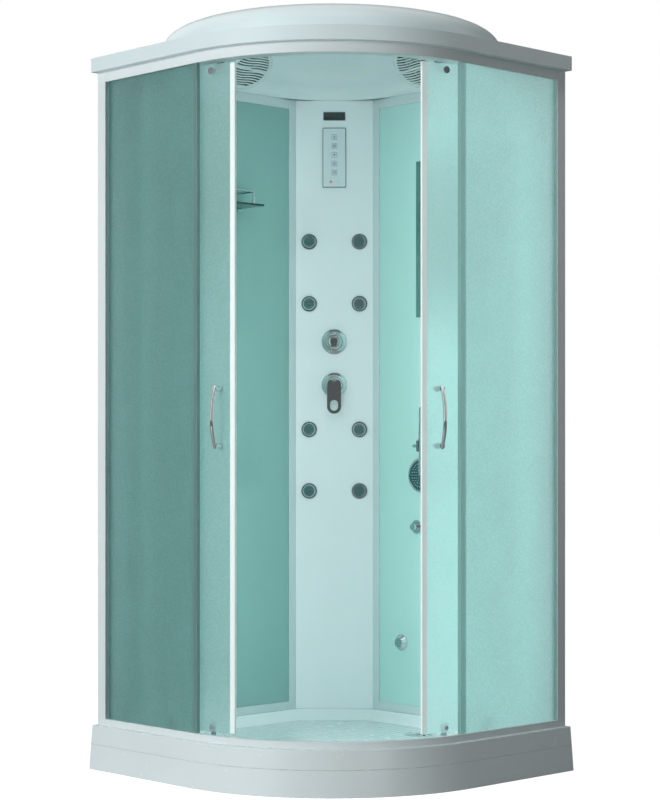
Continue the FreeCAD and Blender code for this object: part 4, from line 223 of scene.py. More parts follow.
class Effects:
    """Shader node groups that several finishes use, each made once."""

    FLOAT = "NodeSocketFloat"
    COLOUR = "NodeSocketColor"
    VECTOR = "NodeSocketVector"
    GRAIN_SCALE = 175.0
    PIT_SCALE = 140.0
    PIT_DEPTH = 0.0012
    PEEL_DEPTH = 0.0004

    def __init__(self) -> None:
        """Make every group."""
        self.surface = self._surface()
        self.frost = self._frost()
        self.scales = self._scales()
        self.brushed = self._brushed()

    @staticmethod
    def _open(name: str, inputs: Iterable[tuple[str, str, object]],
              outputs: Iterable[tuple[str, str]]) -> tuple[Wiring, bpy.types.Node, bpy.types.Node]:
        """Start a group with its sockets.

        Args:
            name: The group's name.
            inputs: Name, kind and default of each input.
            outputs: Name and kind of each output.

        Returns:
            The wiring, the group's input node and its output node.
        """
        tree = bpy.data.node_groups.new(name, "ShaderNodeTree")
        for label, kind, default in inputs:
            tree.interface.new_socket(name=label, in_out="INPUT", socket_type=kind).default_value = default
        for label, kind in outputs:
            tree.interface.new_socket(name=label, in_out="OUTPUT", socket_type=kind)
        wires = Wiring(tree)
        return wires, wires.add("NodeGroupInput"), wires.add("NodeGroupOutput")

    def _surface(self) -> bpy.types.NodeTree:
        """Moulded, painted or plated skin: slow unevenness, fine orange peel and handling marks."""
        wires, source, sink = self._open(
            "moulded_surface",
            (("Colour", self.COLOUR, (0.8, 0.8, 0.8, 1)), ("Unevenness", self.FLOAT, 0.04),
             ("Roughness", self.FLOAT, 0.3), ("Marks", self.FLOAT, 0.08), ("Peel scale", self.FLOAT, 900.0),
             ("Peel", self.FLOAT, 0.05)),
            (("Colour", self.COLOUR), ("Roughness", self.FLOAT), ("Normal", self.VECTOR)))
        slow = wires.noise(6.0, 2.0)
        smear = wires.noise(28.0, 5.0)
        shade = wires.math("MULTIPLY", wires.math("SUBTRACT", slow, 0.5), source.outputs["Unevenness"])
        value = wires.math("ADD", 1.0, wires.math("MULTIPLY", shade, 2.0))
        toned = wires.add("ShaderNodeHueSaturation", {"Color": source.outputs["Colour"], "Value": value})
        marks = wires.math("MULTIPLY", wires.ramp(smear, 0.45, 0.75), source.outputs["Marks"])
        rough = wires.math("ADD", source.outputs["Roughness"], marks, clamp=True)
        peel = wires.noise(source.outputs["Peel scale"], 2.0)
        normal = wires.bump(peel, source.outputs["Peel"], self.PEEL_DEPTH)
        wires.feed(sink, {"Colour": toned.outputs["Color"], "Roughness": rough, "Normal": normal})
        return wires.tree

    def _frost(self) -> bpy.types.NodeTree:
        """Etched glass: a sparkling grain on a slow cloud, and a pitted relief."""
        wires, source, sink = self._open(
            "etched_grain",
            (("Colour", self.COLOUR, (0.4, 0.7, 0.7, 1)), ("Sparkle", self.COLOUR, (0.8, 1, 1, 1)),
             ("Amount", self.FLOAT, 0.35), ("Roughness", self.FLOAT, 0.5), ("Relief", self.FLOAT, 0.5)),
            (("Colour", self.COLOUR), ("Roughness", self.FLOAT), ("Normal", self.VECTOR)))
        where = wires.place()
        fine = wires.noise(self.GRAIN_SCALE, 3.0, where)
        cells = wires.add("ShaderNodeTexVoronoi", {"Vector": where, "Scale": self.PIT_SCALE, "Randomness": 1.0})
        cloud = wires.noise(9.0, 3.0, where)
        grain = wires.math("MULTIPLY", wires.ramp(fine, 0.42, 0.68), source.outputs["Amount"])
        shaded = wires.add("ShaderNodeHueSaturation", {
            "Color": source.outputs["Colour"], "Value": wires.math("ADD", 0.94, wires.math("MULTIPLY", cloud, 0.12))})
        colour = wires.mix(grain, shaded.outputs["Color"], source.outputs["Sparkle"])
        rough = wires.math("ADD", source.outputs["Roughness"],
                           wires.math("MULTIPLY", wires.math("SUBTRACT", fine, 0.5), 0.2), clamp=True)
        height = wires.math("ADD", fine, wires.math("MULTIPLY", cells.outputs["Distance"], 0.8))
        normal = wires.bump(height, source.outputs["Relief"], self.PIT_DEPTH)
        wires.feed(sink, {"Colour": colour, "Roughness": rough, "Normal": normal})
        return wires.tree

    def _scales(self) -> bpy.types.NodeTree:
        """Anti-slip relief of overlapping scales on a level floor between two heights."""
        wires, source, sink = self._open(
            "anti_slip_scales",
            (("Level", self.FLOAT, 0.075), ("Scale", self.FLOAT, 34.0)),
            (("Height", self.FLOAT), ("Mask", self.FLOAT)))
        where = wires.place()
        turned = wires.add("ShaderNodeMapping", {"Vector": where, "Rotation": (0.0, 0.0, math.radians(45))})
        flat = wires.add("ShaderNodeVectorMath", {0: turned.outputs[0], 1: (1.0, 1.0, 0.0)}, operation="MULTIPLY")
        cells = wires.add("ShaderNodeTexVoronoi", {"Vector": flat.outputs[0], "Scale": source.outputs["Scale"],
                                                   "Randomness": 0.0}, voronoi_dimensions="2D")
        height = wires.add("ShaderNodeSeparateXYZ", {0: where}).outputs["Z"]
        off = wires.math("ABSOLUTE", wires.math("SUBTRACT", height, source.outputs["Level"]))
        mask = wires.math("SUBTRACT", 1.0, wires.ramp(off, 0.0004, 0.0012))
        dome = wires.math("SUBTRACT", 1.0, wires.ramp(cells.outputs["Distance"], 0.0, 0.62))
        raised = wires.math("MULTIPLY", wires.math("POWER", dome, 0.6), mask)
        wires.feed(sink, {"Height": raised, "Mask": mask})
        return wires.tree

    def _brushed(self) -> bpy.types.NodeTree:
        """Drawn metal: fine upright lines in colour and gloss."""
        wires, source, sink = self._open(
            "drawn_metal",
            (("Colour", self.COLOUR, (0.5, 0.5, 0.5, 1)), ("Roughness", self.FLOAT, 0.35)),
            (("Colour", self.COLOUR), ("Roughness", self.FLOAT)))
        along = wires.add("ShaderNodeMapping", {"Vector": wires.place(), "Scale": (900.0, 900.0, 14.0)})
        lines = wires.noise(1.0, 3.0, along.outputs[0])
        value = wires.math("ADD", 0.8, wires.math("MULTIPLY", lines, 0.4))
        toned = wires.add("ShaderNodeHueSaturation", {"Color": source.outputs["Colour"], "Value": value})
        rough = wires.math("ADD", source.outputs["Roughness"], wires.math("MULTIPLY", lines, 0.2), clamp=True)
        wires.feed(sink, {"Colour": toned.outputs["Color"], "Roughness": rough})
        return wires.tree


# ---------------------------------------------------------------- finishes


@dataclass(frozen=True)
class Skin:
    """An opaque finish on the moulded surface effect."""

    colour: Colour
    roughness: float
    unevenness: float = 0.03
    marks: float = 0.08
    peel: float = 0.04
    peel_scale: float = 900.0
    metallic: float = 0.0
    coat: float = 0.0
    # glow: emission in the finish's own colour; real light for the indicator lamp, a painted glow on the spray outlets
    glow: float = 0.0
    scales: bool = False

    def make(self, name: str, effects: Effects) -> bpy.types.Material:
        """Build the material.

        Args:
            name: The material's name.
            effects: The shared node groups.

        Returns:
            The material.
        """
        material, wires, shader = blank_material(name)
        skin = wires.add("ShaderNodeGroup", {
            "Colour": self.colour, "Unevenness": self.unevenness, "Roughness": self.roughness, "Marks": self.marks,
            "Peel": self.peel, "Peel scale": self.peel_scale}, node_tree=effects.surface)
        colour, normal = skin.outputs["Colour"], skin.outputs["Normal"]
        if self.scales:
            relief = wires.add("ShaderNodeGroup", node_tree=effects.scales).outputs["Height"]
            normal = wires.add("ShaderNodeBump", {"Height": relief, "Strength": 0.75, "Distance": 0.0028,
                                                  "Normal": normal}).outputs["Normal"]
            # Painted shade: the raised scales are tinted darker and greener with their height.
            colour = wires.mix(wires.math("MULTIPLY", relief, 0.35), colour, tone(186, 214, 214))
        wires.feed(shader, {"Base Color": colour, "Roughness": skin.outputs["Roughness"], "Normal": normal,
                            "Metallic": self.metallic, "Coat Weight": self.coat, "Coat Roughness": 0.06})
        if self.glow:
            wires.feed(shader, {"Emission Color": colour, "Emission Strength": self.glow})
        return material


@dataclass(frozen=True)
class Drawn:
    """A drawn or brushed metal."""

    colour: Colour
    roughness: float

    def make(self, name: str, effects: Effects) -> bpy.types.Material:
        """Build the material; see Skin.make."""
        material, wires, shader = blank_material(name)
        lines = wires.add("ShaderNodeGroup", {"Colour": self.colour, "Roughness": self.roughness},
                          node_tree=effects.brushed).outputs
        wires.feed(shader, {"Base Color": lines["Colour"], "Roughness": lines["Roughness"], "Metallic": 1.0})
        return material


@dataclass(frozen=True)
class Glazing:
    """A pane that lets light through: etched, or clear with a slight unevenness, with an optional painted glow."""

    colour: Colour
    sparkle: Colour
    amount: float
    roughness: float
    relief: float
    through: float
    shadow_through: float
    # glow: emission in the pane's own colour, a painted glow though the pane is no lamp
    glow: float = 0.0

    def make(self, name: str, effects: Effects) -> bpy.types.Material:
        """Build the material; light for the inside passes by the shadow rays."""
        material, wires, shader = blank_material(name)
        frost = wires.add("ShaderNodeGroup", {
            "Colour": self.colour, "Sparkle": self.sparkle, "Amount": self.amount, "Roughness": self.roughness,
            "Relief": self.relief}, node_tree=effects.frost).outputs
        wires.feed(shader, {
            "Base Color": frost["Colour"], "Roughness": frost["Roughness"], "Normal": frost["Normal"],
            "Transmission Weight": self.through, "Emission Color": frost["Colour"],
            "Emission Strength": self.glow, "IOR": GLASS_INDEX})
        rays = wires.add("ShaderNodeLightPath")
        passing = wires.math("MULTIPLY", rays.outputs["Is Shadow Ray"], self.shadow_through)
        clear = wires.add("ShaderNodeBsdfTransparent", {"Color": SHADOW_TINT})
        mixed = wires.add("ShaderNodeMixShader", {0: passing, 1: shader.outputs[0], 2: clear.outputs[0]})
        wires.feed(material.node_tree.nodes["Material Output"], {"Surface": mixed.outputs[0]})
        return material


FINISHES: dict[Finish, Skin | Drawn | Glazing] = {
    Finish.ACRYLIC: Skin(tone(230, 240, 243), 0.16, coat=0.35, peel=0.03, peel_scale=160.0),
    Finish.FLOOR: Skin(tone(228, 240, 242), 0.22, coat=0.2, peel=0.03, peel_scale=160.0, scales=True),
    Finish.CEILING: Skin(tone(220, 236, 238), 0.3, peel=0.03, peel_scale=160.0),
    Finish.WHITE_FRAME: Skin(tone(228, 238, 240), 0.3, peel=0.06),
    Finish.WALL_BAR: Skin(tone(206, 222, 224), 0.32, peel=0.06),
    # The four frosted panes are one etched glass in lit and shaded copies: the left fixed pane is tinted darker as
    # painted shade, the left door lighter with a painted glow, the right panes lighter with a stronger painted glow.
    Finish.LEFT_FROST: Glazing(tone(172, 210, 207), tone(224, 248, 246), 0.5, 0.45, 0.6, 0.93, 0.7),
    Finish.LEFT_DOOR: Glazing(tone(196, 224, 222), tone(236, 252, 251), 0.5, 0.45, 0.6, 0.92, 0.7, glow=0.07),
    Finish.RIGHT_FROST: Glazing(tone(192, 222, 220), tone(238, 254, 253), 0.5, 0.45, 0.6, 0.86, 0.7, glow=0.11),
    Finish.RIGHT_DOOR: Glazing(tone(192, 222, 220), tone(238, 254, 253), 0.5, 0.45, 0.6, 0.86, 0.7, glow=0.19),
    Finish.EDGE: Glazing(tone(200, 228, 226), tone(226, 246, 245), 0.3, 0.4, 0.2, 0.93, 0.8),
    # The two wall glasses are one mint painted glass in lit and shaded copies: the left one darker as painted shade,
    # the right one lighter as painted light.
    Finish.LEFT_WALL: Skin(tone(142, 186, 182), 0.1, unevenness=0.03, marks=0.03, peel=0.01, coat=0.3),
    Finish.RIGHT_WALL: Skin(tone(188, 230, 226), 0.1, unevenness=0.03, marks=0.03, peel=0.01, coat=0.3),
    Finish.CLEAR: Glazing(tone(60, 122, 108), tone(140, 190, 180), 0.1, 0.02, 0.02, 0.85, 0.6),
    Finish.MIRROR: Skin(tone(176, 206, 202), 0.02, unevenness=0.01, marks=0.02, peel=0.0, metallic=1.0),
    Finish.CHROME: Skin(tone(212, 220, 222), 0.07, unevenness=0.02, marks=0.10, peel=0.01, metallic=1.0),
    Finish.SMOKED: Skin(tone(44, 84, 88), 0.2, marks=0.1, coat=0.5),
    # Spray outlets with a painted glow.
    Finish.NUB: Skin(tone(206, 232, 232), 0.45, glow=0.1),
    # Door seals with a painted glow.
    Finish.SEAL: Glazing(tone(240, 249, 248), tone(252, 254, 254), 0.3, 0.4, 0.2, 0.15, 0.5, glow=0.1),
    Finish.BRASS: Skin(tone(190, 158, 92), 0.3, unevenness=0.08, marks=0.2, peel=0.15, metallic=1.0),
    Finish.PIPE: Skin(tone(214, 214, 208), 0.42, peel=0.05),
    Finish.STEEL: Drawn(tone(158, 162, 164), 0.3),
    Finish.BLACK: Skin(tone(30, 33, 35), 0.4, peel=0.12, peel_scale=700.0),
    Finish.GRILLE: Skin(tone(206, 222, 222), 0.26, coat=0.2),
    Finish.PANEL: Skin(tone(214, 226, 231), 0.16, coat=0.3, marks=0.05),
    Finish.PANEL_LINE: Skin(tone(74, 92, 102), 0.3),
    Finish.KEY: Skin(tone(206, 218, 224), 0.25, coat=0.2),
    Finish.LAMP: Skin(tone(196, 52, 60), 0.2, glow=0.15, coat=0.5),
    Finish.BADGE: Skin(tone(44, 50, 52), 0.14, coat=0.7, marks=0.12),
    Finish.NYLON: Skin(tone(220, 224, 222), 0.4),
    Finish.WASTE: Skin(tone(150, 156, 158), 0.42, peel=0.08),
}


# ---------------------------------------------------------------- frames of the faces

STAND_UP = Matrix.Rotation(math.radians(90), 4, "X")


def column_frame(across: float, height: float, out: float = 0.0) -> Matrix:
    """The frame of a place on the column panel, from millimetres."""
    place = Vector((across * MILLIMETRE, COLUMN_FACE - out * MILLIMETRE, height * MILLIMETRE))
    return Matrix.Translation(place) @ STAND_UP


def wall_frame(side: Side, along: float, height: float, out: float) -> Matrix:
    """The frame of a place on a wall, from millimetres along it, up and out of it."""
    run = along * MILLIMETRE / math.sqrt(2)
    step = out * MILLIMETRE / math.sqrt(2)
    place = Vector((side.value * (run - step), BACK_CORNER - run - step, height * MILLIMETRE))
    return Matrix.Translation(place) @ Matrix.Rotation(math.radians(-45 * side.value), 4, "Z") @ STAND_UP


# ---------------------------------------------------------------- shaping with bmesh


class Form:
    """One mesh in the making, in millimetres."""

    def __init__(self) -> None:
        """Start empty."""
        self.mesh = bmesh.new()

    def spin(self, profile: Sequence[tuple[float, float]], steps: int = 48, closed: bool = False,
             material: int = 0, centre: tuple[float, float] = (0.0, 0.0)) -> Form:
        """Turn a profile of radius and height about the Z axis.

        Args:
            profile: Radius and height of each point, along the section.
            steps: Facets round the axis.
            closed: Whether the last point joins the first, for a ring.
            material: Slot number of the new faces.
            centre: Where the axis stands.

        Returns:
            The form itself.
        """
        part = bmesh.new()
        points = [part.verts.new((radius, 0.0, height)) for radius, height in profile]
        edges = [part.edges.new(pair) for pair in zip(points, points[1:])]
        if closed:
            edges.append(part.edges.new((points[-1], points[0])))
        bmesh.ops.spin(part, geom=points + edges, cent=(0, 0, 0), axis=(0, 0, 1), dvec=(0, 0, 0),
                       angle=2 * math.pi, steps=steps, use_merge=True, use_duplicate=False)
        bmesh.ops.remove_doubles(part, verts=part.verts[:], dist=1e-4)
        bmesh.ops.recalc_face_normals(part, faces=part.faces[:])
        bmesh.ops.translate(part, verts=part.verts[:], vec=(centre[0], centre[1], 0.0))
        return self._take(part, material)

    def plate(self, width: float, height: float, depth: float, corner: float = 0.0, edge: float = 0.0,
              at: Point = (0.0, 0.0, 0.0), material: int = 0, turn: float = 0.0) -> Form:
        """A flat block with rounded corners and eased edges.

        Args:
            width: Size along x.
            height: Size along y.
            depth: Size along z, upwards from the place.
            corner: Radius of the four upright corners.
            edge: Size of the eased front and back edges.
            at: Middle of the back face.
            material: Slot number.
            turn: Turn about z in degrees.

        Returns:
            The form itself.
        """
        part = bmesh.new()
        bmesh.ops.create_cube(part, size=1.0)
        bmesh.ops.scale(part, vec=(width, height, depth), verts=part.verts[:])
        bmesh.ops.translate(part, vec=(0, 0, depth / 2), verts=part.verts[:])
        if corner:
            upright = [e for e in part.edges if abs(e.verts[0].co.z - e.verts[1].co.z) > depth / 2]
            self._round(part, upright, corner, 5)
        if edge:
            rims = [e for e in part.edges if abs(e.verts[0].co.z - e.verts[1].co.z) < 1e-6
                    and len(e.link_faces) == 2 and abs(e.link_faces[0].normal.dot(e.link_faces[1].normal)) < 0.5]
            self._round(part, rims, edge, 2)
        place = Matrix.Translation(at) @ Matrix.Rotation(math.radians(turn), 4, "Z")
        bmesh.ops.transform(part, matrix=place, verts=part.verts[:])
        return self._take(part, material)

    @staticmethod
    def _round(part: bmesh.types.BMesh, edges: list[bmesh.types.BMEdge], radius: float, facets: int) -> None:
        """Round some edges of a part."""
        bmesh.ops.bevel(part, geom=edges, offset=radius, offset_type="OFFSET", segments=facets, profile=0.5,
                        affect="EDGES", material=-1, clamp_overlap=True)

    def slat(self, length: float, width: float, depth: float, wave: float,
             at: Point) -> Form:
        """A thin bar along x that bends in one soft wave.

        Args:
            length: Whole length.
            width: Size along y.
            depth: Thickness.
            wave: How far the bar bends to each side.
            at: Middle of the back face.

        Returns:
            The form itself.
        """
        part = bmesh.new()
        bmesh.ops.create_grid(part, x_segments=20, y_segments=1, size=0.5)
        for vert in part.verts:
            along = vert.co.x
            vert.co = Vector((along * length, vert.co.y * width + wave * math.sin(2 * math.pi * along), 0.0))
        made = bmesh.ops.extrude_face_region(part, geom=part.faces[:])
        raised = [item for item in made["geom"] if isinstance(item, bmesh.types.BMVert)]
        bmesh.ops.translate(part, vec=(0, 0, depth), verts=raised)
        bmesh.ops.recalc_face_normals(part, faces=part.faces[:])
        bmesh.ops.translate(part, vec=at, verts=part.verts[:])
        return self._take(part, 0)

    def nub(self, at: Point, radius: float, height: float, material: int = 0) -> Form:
        """A small blunt cone for one spray outlet."""
        part = bmesh.new()
        place = Matrix.Translation((at[0], at[1], at[2] + height / 2))
        bmesh.ops.create_cone(part, cap_ends=True, segments=8, radius1=radius, radius2=radius * 0.55,
                              depth=height, matrix=place)
        return self._take(part, material)

    def nub_rings(self, rings: Rings, level: float, radius: float, height: float = 1.5) -> Form:
        """Spray outlets in rings of a count and a radius each, in the third finish."""
        for count, ring in rings:
            for index in range(count):
                turn = 2 * math.pi * index / count
                self.nub((ring * math.cos(turn), ring * math.sin(turn), level), radius, height, material=2)
        return self

    def move(self, matrix: Matrix) -> Form:
        """Move everything made so far."""
        bmesh.ops.transform(self.mesh, matrix=matrix, verts=self.mesh.verts[:])
        return self

    def absorb(self, part: bmesh.types.BMesh) -> Form:
        """Add another mesh, which is used up."""
        carrier = bpy.data.meshes.new("part")
        part.to_mesh(carrier)
        part.free()
        self.mesh.from_mesh(carrier)
        bpy.data.meshes.remove(carrier)
        return self

    def _take(self, part: bmesh.types.BMesh, material: int) -> Form:
        """Add a finished part to the form, in one finish."""
        for face in part.faces:
            face.material_index = material
        return self.absorb(part)


@dataclass
class Workshop:
    """Holds the frame and the finishes, and hands pieces over to the frame."""

    frame: dict
    finishes: dict[Finish, bpy.types.Material] = field(default_factory=dict)
    made: int = 0

    def prepare(self) -> None:
        """Make every finish once."""
        effects = Effects()
        for finish, recipe in FINISHES.items():
            self.finishes[finish] = recipe.make(finish.value, effects)
        LOG.info("finishes made: %d", len(self.finishes))

    def coat(self, finish: Finish, node: str) -> None:
        """Give a CAD node that stays a finish."""
        mesh = self.frame["nodes"][node].data
        mesh.materials.clear()
        mesh.materials.append(self.finishes[finish])
        LOG.info("node %s: %s", node, finish.value)

    def ease(self, node: str, finish: Finish, width: float, crease: float = 32.0, segments: int = 2) -> None:
        """Replace a CAD node by the same shape with smooth curves and eased edges.

        Args:
            node: The CAD node.
            finish: Its finish.
            width: Size of the eased edges in millimetres.
            crease: Angle in degrees from which an edge counts as an edge.
            segments: Facets of an eased edge.
        """
        form = bmesh.new()
        form.from_mesh(self.frame["nodes"][node].data)
        bmesh.ops.remove_doubles(form, verts=form.verts[:], dist=2e-6)
        bmesh.ops.dissolve_limit(form, angle_limit=math.radians(FLAT_ANGLE), use_dissolve_boundaries=False,
                                 verts=form.verts[:], edges=form.edges[:], delimit={"NORMAL"})
        for face in form.faces:
            face.material_index = 0
        piece = self._object(form, node + "_eased", (finish,), crease)
        bevel = piece.modifiers.new("eased", "BEVEL")
        bevel.width = width * MILLIMETRE
        bevel.segments = segments
        bevel.limit_method = "ANGLE"
        bevel.angle_limit = math.radians(crease)
        bevel.use_clamp_overlap = True
        bevel.harden_normals = True
        self._hand_over(piece, node)

    def deliver(self, form: Form, name: str, place: Matrix, finishes: Sequence[Finish], replaced: str,
                crease: float = 32.0) -> None:
        """Turn a form into a piece of the cabin.

        Args:
            form: The mesh, in millimetres.
            name: The piece's name.
            place: The frame that the form was drawn in.
            finishes: A finish for each material slot of the form.
            replaced: The CAD node it stands for, whose body it rides on.
            crease: Angle in degrees from which an edge stays sharp.
        """
        made = form.mesh
        bmesh.ops.remove_doubles(made, verts=made.verts[:], dist=1e-3)
        bmesh.ops.transform(made, matrix=place @ Matrix.Scale(MILLIMETRE, 4), verts=made.verts[:])
        bmesh.ops.recalc_face_normals(made, faces=made.faces[:])
        self._hand_over(self._object(made, name, finishes, crease), replaced)

    def _object(self, form: bmesh.types.BMesh, name: str, finishes: Sequence[Finish],
                crease: float) -> bpy.types.Object:
        """Make a mesh an object, smooth up to the crease, with its finishes."""
        for face in form.faces:
            face.smooth = True
        for edge in form.edges:
            edge.smooth = len(edge.link_faces) == 2 and edge.calc_face_angle(0.0) < math.radians(crease)
        mesh = bpy.data.meshes.new(name)
        form.to_mesh(mesh)
        form.free()
        for finish in finishes:
            mesh.materials.append(self.finishes[finish])
        piece = bpy.data.objects.new(name, mesh)
        bpy.context.scene.collection.objects.link(piece)
        return piece

    def _hand_over(self, piece: bpy.types.Object, node: str) -> None:
        """Put a piece on a CAD node's body in place of the node, which is hidden."""
        body = self.frame["nodes"][node]["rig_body"]
        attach(piece, body)
        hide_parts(node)
        self.made += 1
        LOG.info("piece %s on %s", piece.name, body)


# ---------------------------------------------------------------- sub-assemblies


@dataclass
class Base:
    """Tray with its skirt and frame, drain and trap."""

    lip_ease: float = 3.5
    frame_ease: float = 1.0

    def build(self, shop: Workshop) -> None:
        """Dress the tray and what is under it."""
        shop.ease("tray", Finish.FLOOR, self.lip_ease, crease=40.0, segments=3)
        shop.ease("tray_frame", Finish.STEEL, self.frame_ease)
        shop.ease("tray_feet", Finish.STEEL, 0.6)
        shop.ease("drain_trap", Finish.WASTE, 0.8)
        shop.ease("drain_cover", Finish.CHROME, 0.5)


@dataclass
class Enclosure:
    """Rails, posts, walls and the fixed panes."""

    rail_ease: float = 1.5
    post_ease: float = 2.0

    def build(self, shop: Workshop) -> None:
        """Dress rails, posts, wall frames and panes."""
        for node in ("bottom_rail", "top_rail"):
            shop.ease(node, Finish.WHITE_FRAME, self.rail_ease, crease=40.0)
        for side in Side:
            shop.ease(side.word + "_post", Finish.WHITE_FRAME, self.post_ease, crease=40.0)
            shop.ease(side.word + "_wall_frame", Finish.WALL_BAR, 1.2, crease=40.0)
        shop.ease("fixed_glass_seals", Finish.EDGE, 0.6)
        # Fixed panes: a painted-shade copy of the frosted glass on the left, a painted-glow copy on the right.
        shop.coat(Finish.LEFT_FROST, "left_fixed_glass")
        shop.coat(Finish.RIGHT_FROST, "right_fixed_glass")
        # Wall glasses: the painted-shade copy on the left, the painted-light copy on the right.
        shop.coat(Finish.LEFT_WALL, "left_wall_glass")
        shop.coat(Finish.RIGHT_WALL, "right_wall_glass")
        shop.ease("column_panel", Finish.ACRYLIC, 1.5, crease=40.0)


@dataclass
class Doors:
    """Both sliding doors with handles, carriers and wheels."""

    def build(self, shop: Workshop) -> None:
        """Dress both doors."""
        for side in Side:
            # Door panes: painted-glow copies of the frosted glass, the right one glowing more.
            frost = Finish.LEFT_DOOR if side is Side.LEFT else Finish.RIGHT_DOOR
            shop.ease(side.word + "_door_glass", frost, 0.5, crease=25.0)
            shop.ease(side.word + "_door_seals", Finish.SEAL, 0.8, crease=25.0)
            shop.ease(side.word + "_handle", Finish.CHROME, 0.8, crease=35.0)
            shop.ease(side.word + "_door_carriers", Finish.CHROME, 0.5, crease=35.0)
            for end in ("front", "rear"):
                shop.ease("%s_%s_wheel" % (side.word, end), Finish.NYLON, 0.3)


@dataclass
class Roof:
    """The domed roof with its grilles, the speaker and the fan."""

    across: float = 253.0
    forward: float = 419.0
    height: float = 2122.0
    tilt: float = 45.0
    grille_radius: float = 76.0
    open_radius: float = 64.0
    pitch: float = 9.0
    wave: float = 2.6

    def grille_frame(self, side: Side) -> Matrix:
        """The frame of one grille; its axis points down into the room."""
        place = Vector((side.value * self.across * MILLIMETRE, BACK_CORNER - self.forward * MILLIMETRE,
                        self.height * MILLIMETRE))
        turn = Matrix.Rotation(math.radians(-45 * side.value), 4, "Z") @ STAND_UP
        return Matrix.Translation(place) @ turn @ Matrix.Rotation(math.radians(self.tilt), 4, "X")

    def grille(self, side: Side) -> Form:
        """A light rim, waved slats between it and one bar across them."""
        form = Form()
        rim, inner = self.grille_radius, self.open_radius
        form.spin(((inner, -4.0), (rim, -4.0), (rim, -1.0), (rim - 1.5, 0.2), (rim - 5.0, 0.9),
                   (inner + 3.0, 0.4), (inner, -1.2)), 72, closed=True)
        rows = int(inner / self.pitch)
        for row in range(-rows, rows + 1):
            y = row * self.pitch
            reach = math.sqrt(max(inner ** 2 - y ** 2, 0.0))
            if reach > 8.0:
                form.slat(2 * reach + 2.0, self.pitch * 0.5, 3.2, self.wave * reach / inner, (0.0, y, -4.0))
        form.plate(2 * inner + 1.0, 8.0, 4.4, edge=0.8, at=(0.0, 0.0, -4.4), turn=5.0 * side.value)
        return form

    def speaker(self) -> Form:
        """Basket, ribbed surround, cone and dust cap."""
        form = Form()
        form.spin(((70.0, -8.0), (70.0, -5.2), (46.0, -5.2), (44.0, -6.4), (41.0, -5.6), (38.0, -7.0),
                   (16.0, -13.5), (13.0, -12.0), (8.0, -10.6), (0.0, -10.0)), 56)
        form.spin(((0.0, -24.0), (19.5, -24.0), (20.0, -23.0), (20.0, -16.4), (17.0, -16.0), (48.0, -8.0),
                   (70.0, -8.0)), 56)
        return form

    def build(self, shop: Workshop) -> None:
        """Dress the roof and place grilles, speaker and fan."""
        shop.ease("roof_shell", Finish.CEILING, 2.0, crease=50.0, segments=3)
        both = Form()
        for side in Side:
            move = Matrix.Scale(1 / MILLIMETRE, 4) @ self.grille_frame(side) @ Matrix.Scale(MILLIMETRE, 4)
            both.absorb(self.grille(side).move(move).mesh)
        shop.deliver(both, "waved_grilles", Matrix.Identity(4), (Finish.GRILLE,), "ceiling_grilles", crease=28.0)
        shop.deliver(self.speaker(), "speaker_cone", self.grille_frame(Side.LEFT), (Finish.BLACK,), "speaker")
        shop.ease("fan_housing", Finish.BLACK, 0.5)
        shop.ease("fan_impeller", Finish.BLACK, 0.3)


@dataclass
class Jet:
    """One swivelling body jet: a ball with a smoked face and rings of spray outlets."""

    number: int
    across: float
    height: float
    up: float
    right: float
    ball: float = 21.5
    face: float = 4.5
    centre: float = 3.0
    rings: Rings = ((6, 5.2), (11, 9.8), (16, 14.2))

    def build(self, shop: Workshop) -> None:
        """Place the ball, its face and its outlets."""
        form = Form()
        edge = math.sqrt(self.ball ** 2 - self.face ** 2)
        section = []
        first = math.atan2(-math.sqrt(self.ball ** 2 - 49.0), 7.0)
        last = math.atan2(self.face - 1.0, edge)
        for step in range(19):
            angle = first + (last - first) * step / 18
            section.append((self.ball * math.cos(angle), self.ball * math.sin(angle)))
        form.spin([(0.0, section[0][1] + 14.0), (7.0, section[0][1] + 14.0)] + section
                  + [(edge - 0.6, self.face - 0.2), (edge - 1.6, self.face), (edge - 3.6, self.face - 0.3),
                     (edge - 4.2, self.face - 1.2)], 48)
        form.spin(((edge - 4.2, self.face - 1.2), (edge - 6.0, self.face - 1.3), (6.0, self.face - 0.5),
                   (0.0, self.face - 0.3)), 48, material=1)
        form.nub((0.0, 0.0, self.face - 0.5), 1.1, 1.0, material=2)
        form.nub_rings(self.rings, self.face - 1.2, 1.0)
        tilt = Matrix.Rotation(math.radians(-self.up), 4, "X") @ Matrix.Rotation(math.radians(self.right), 4, "Y")
        place = column_frame(self.across, self.height, self.centre) @ tilt
        shop.deliver(form, "jet_head_%d" % self.number, place, (Finish.CHROME, Finish.SMOKED, Finish.NUB),
                     "jet_nozzle_%d" % self.number)


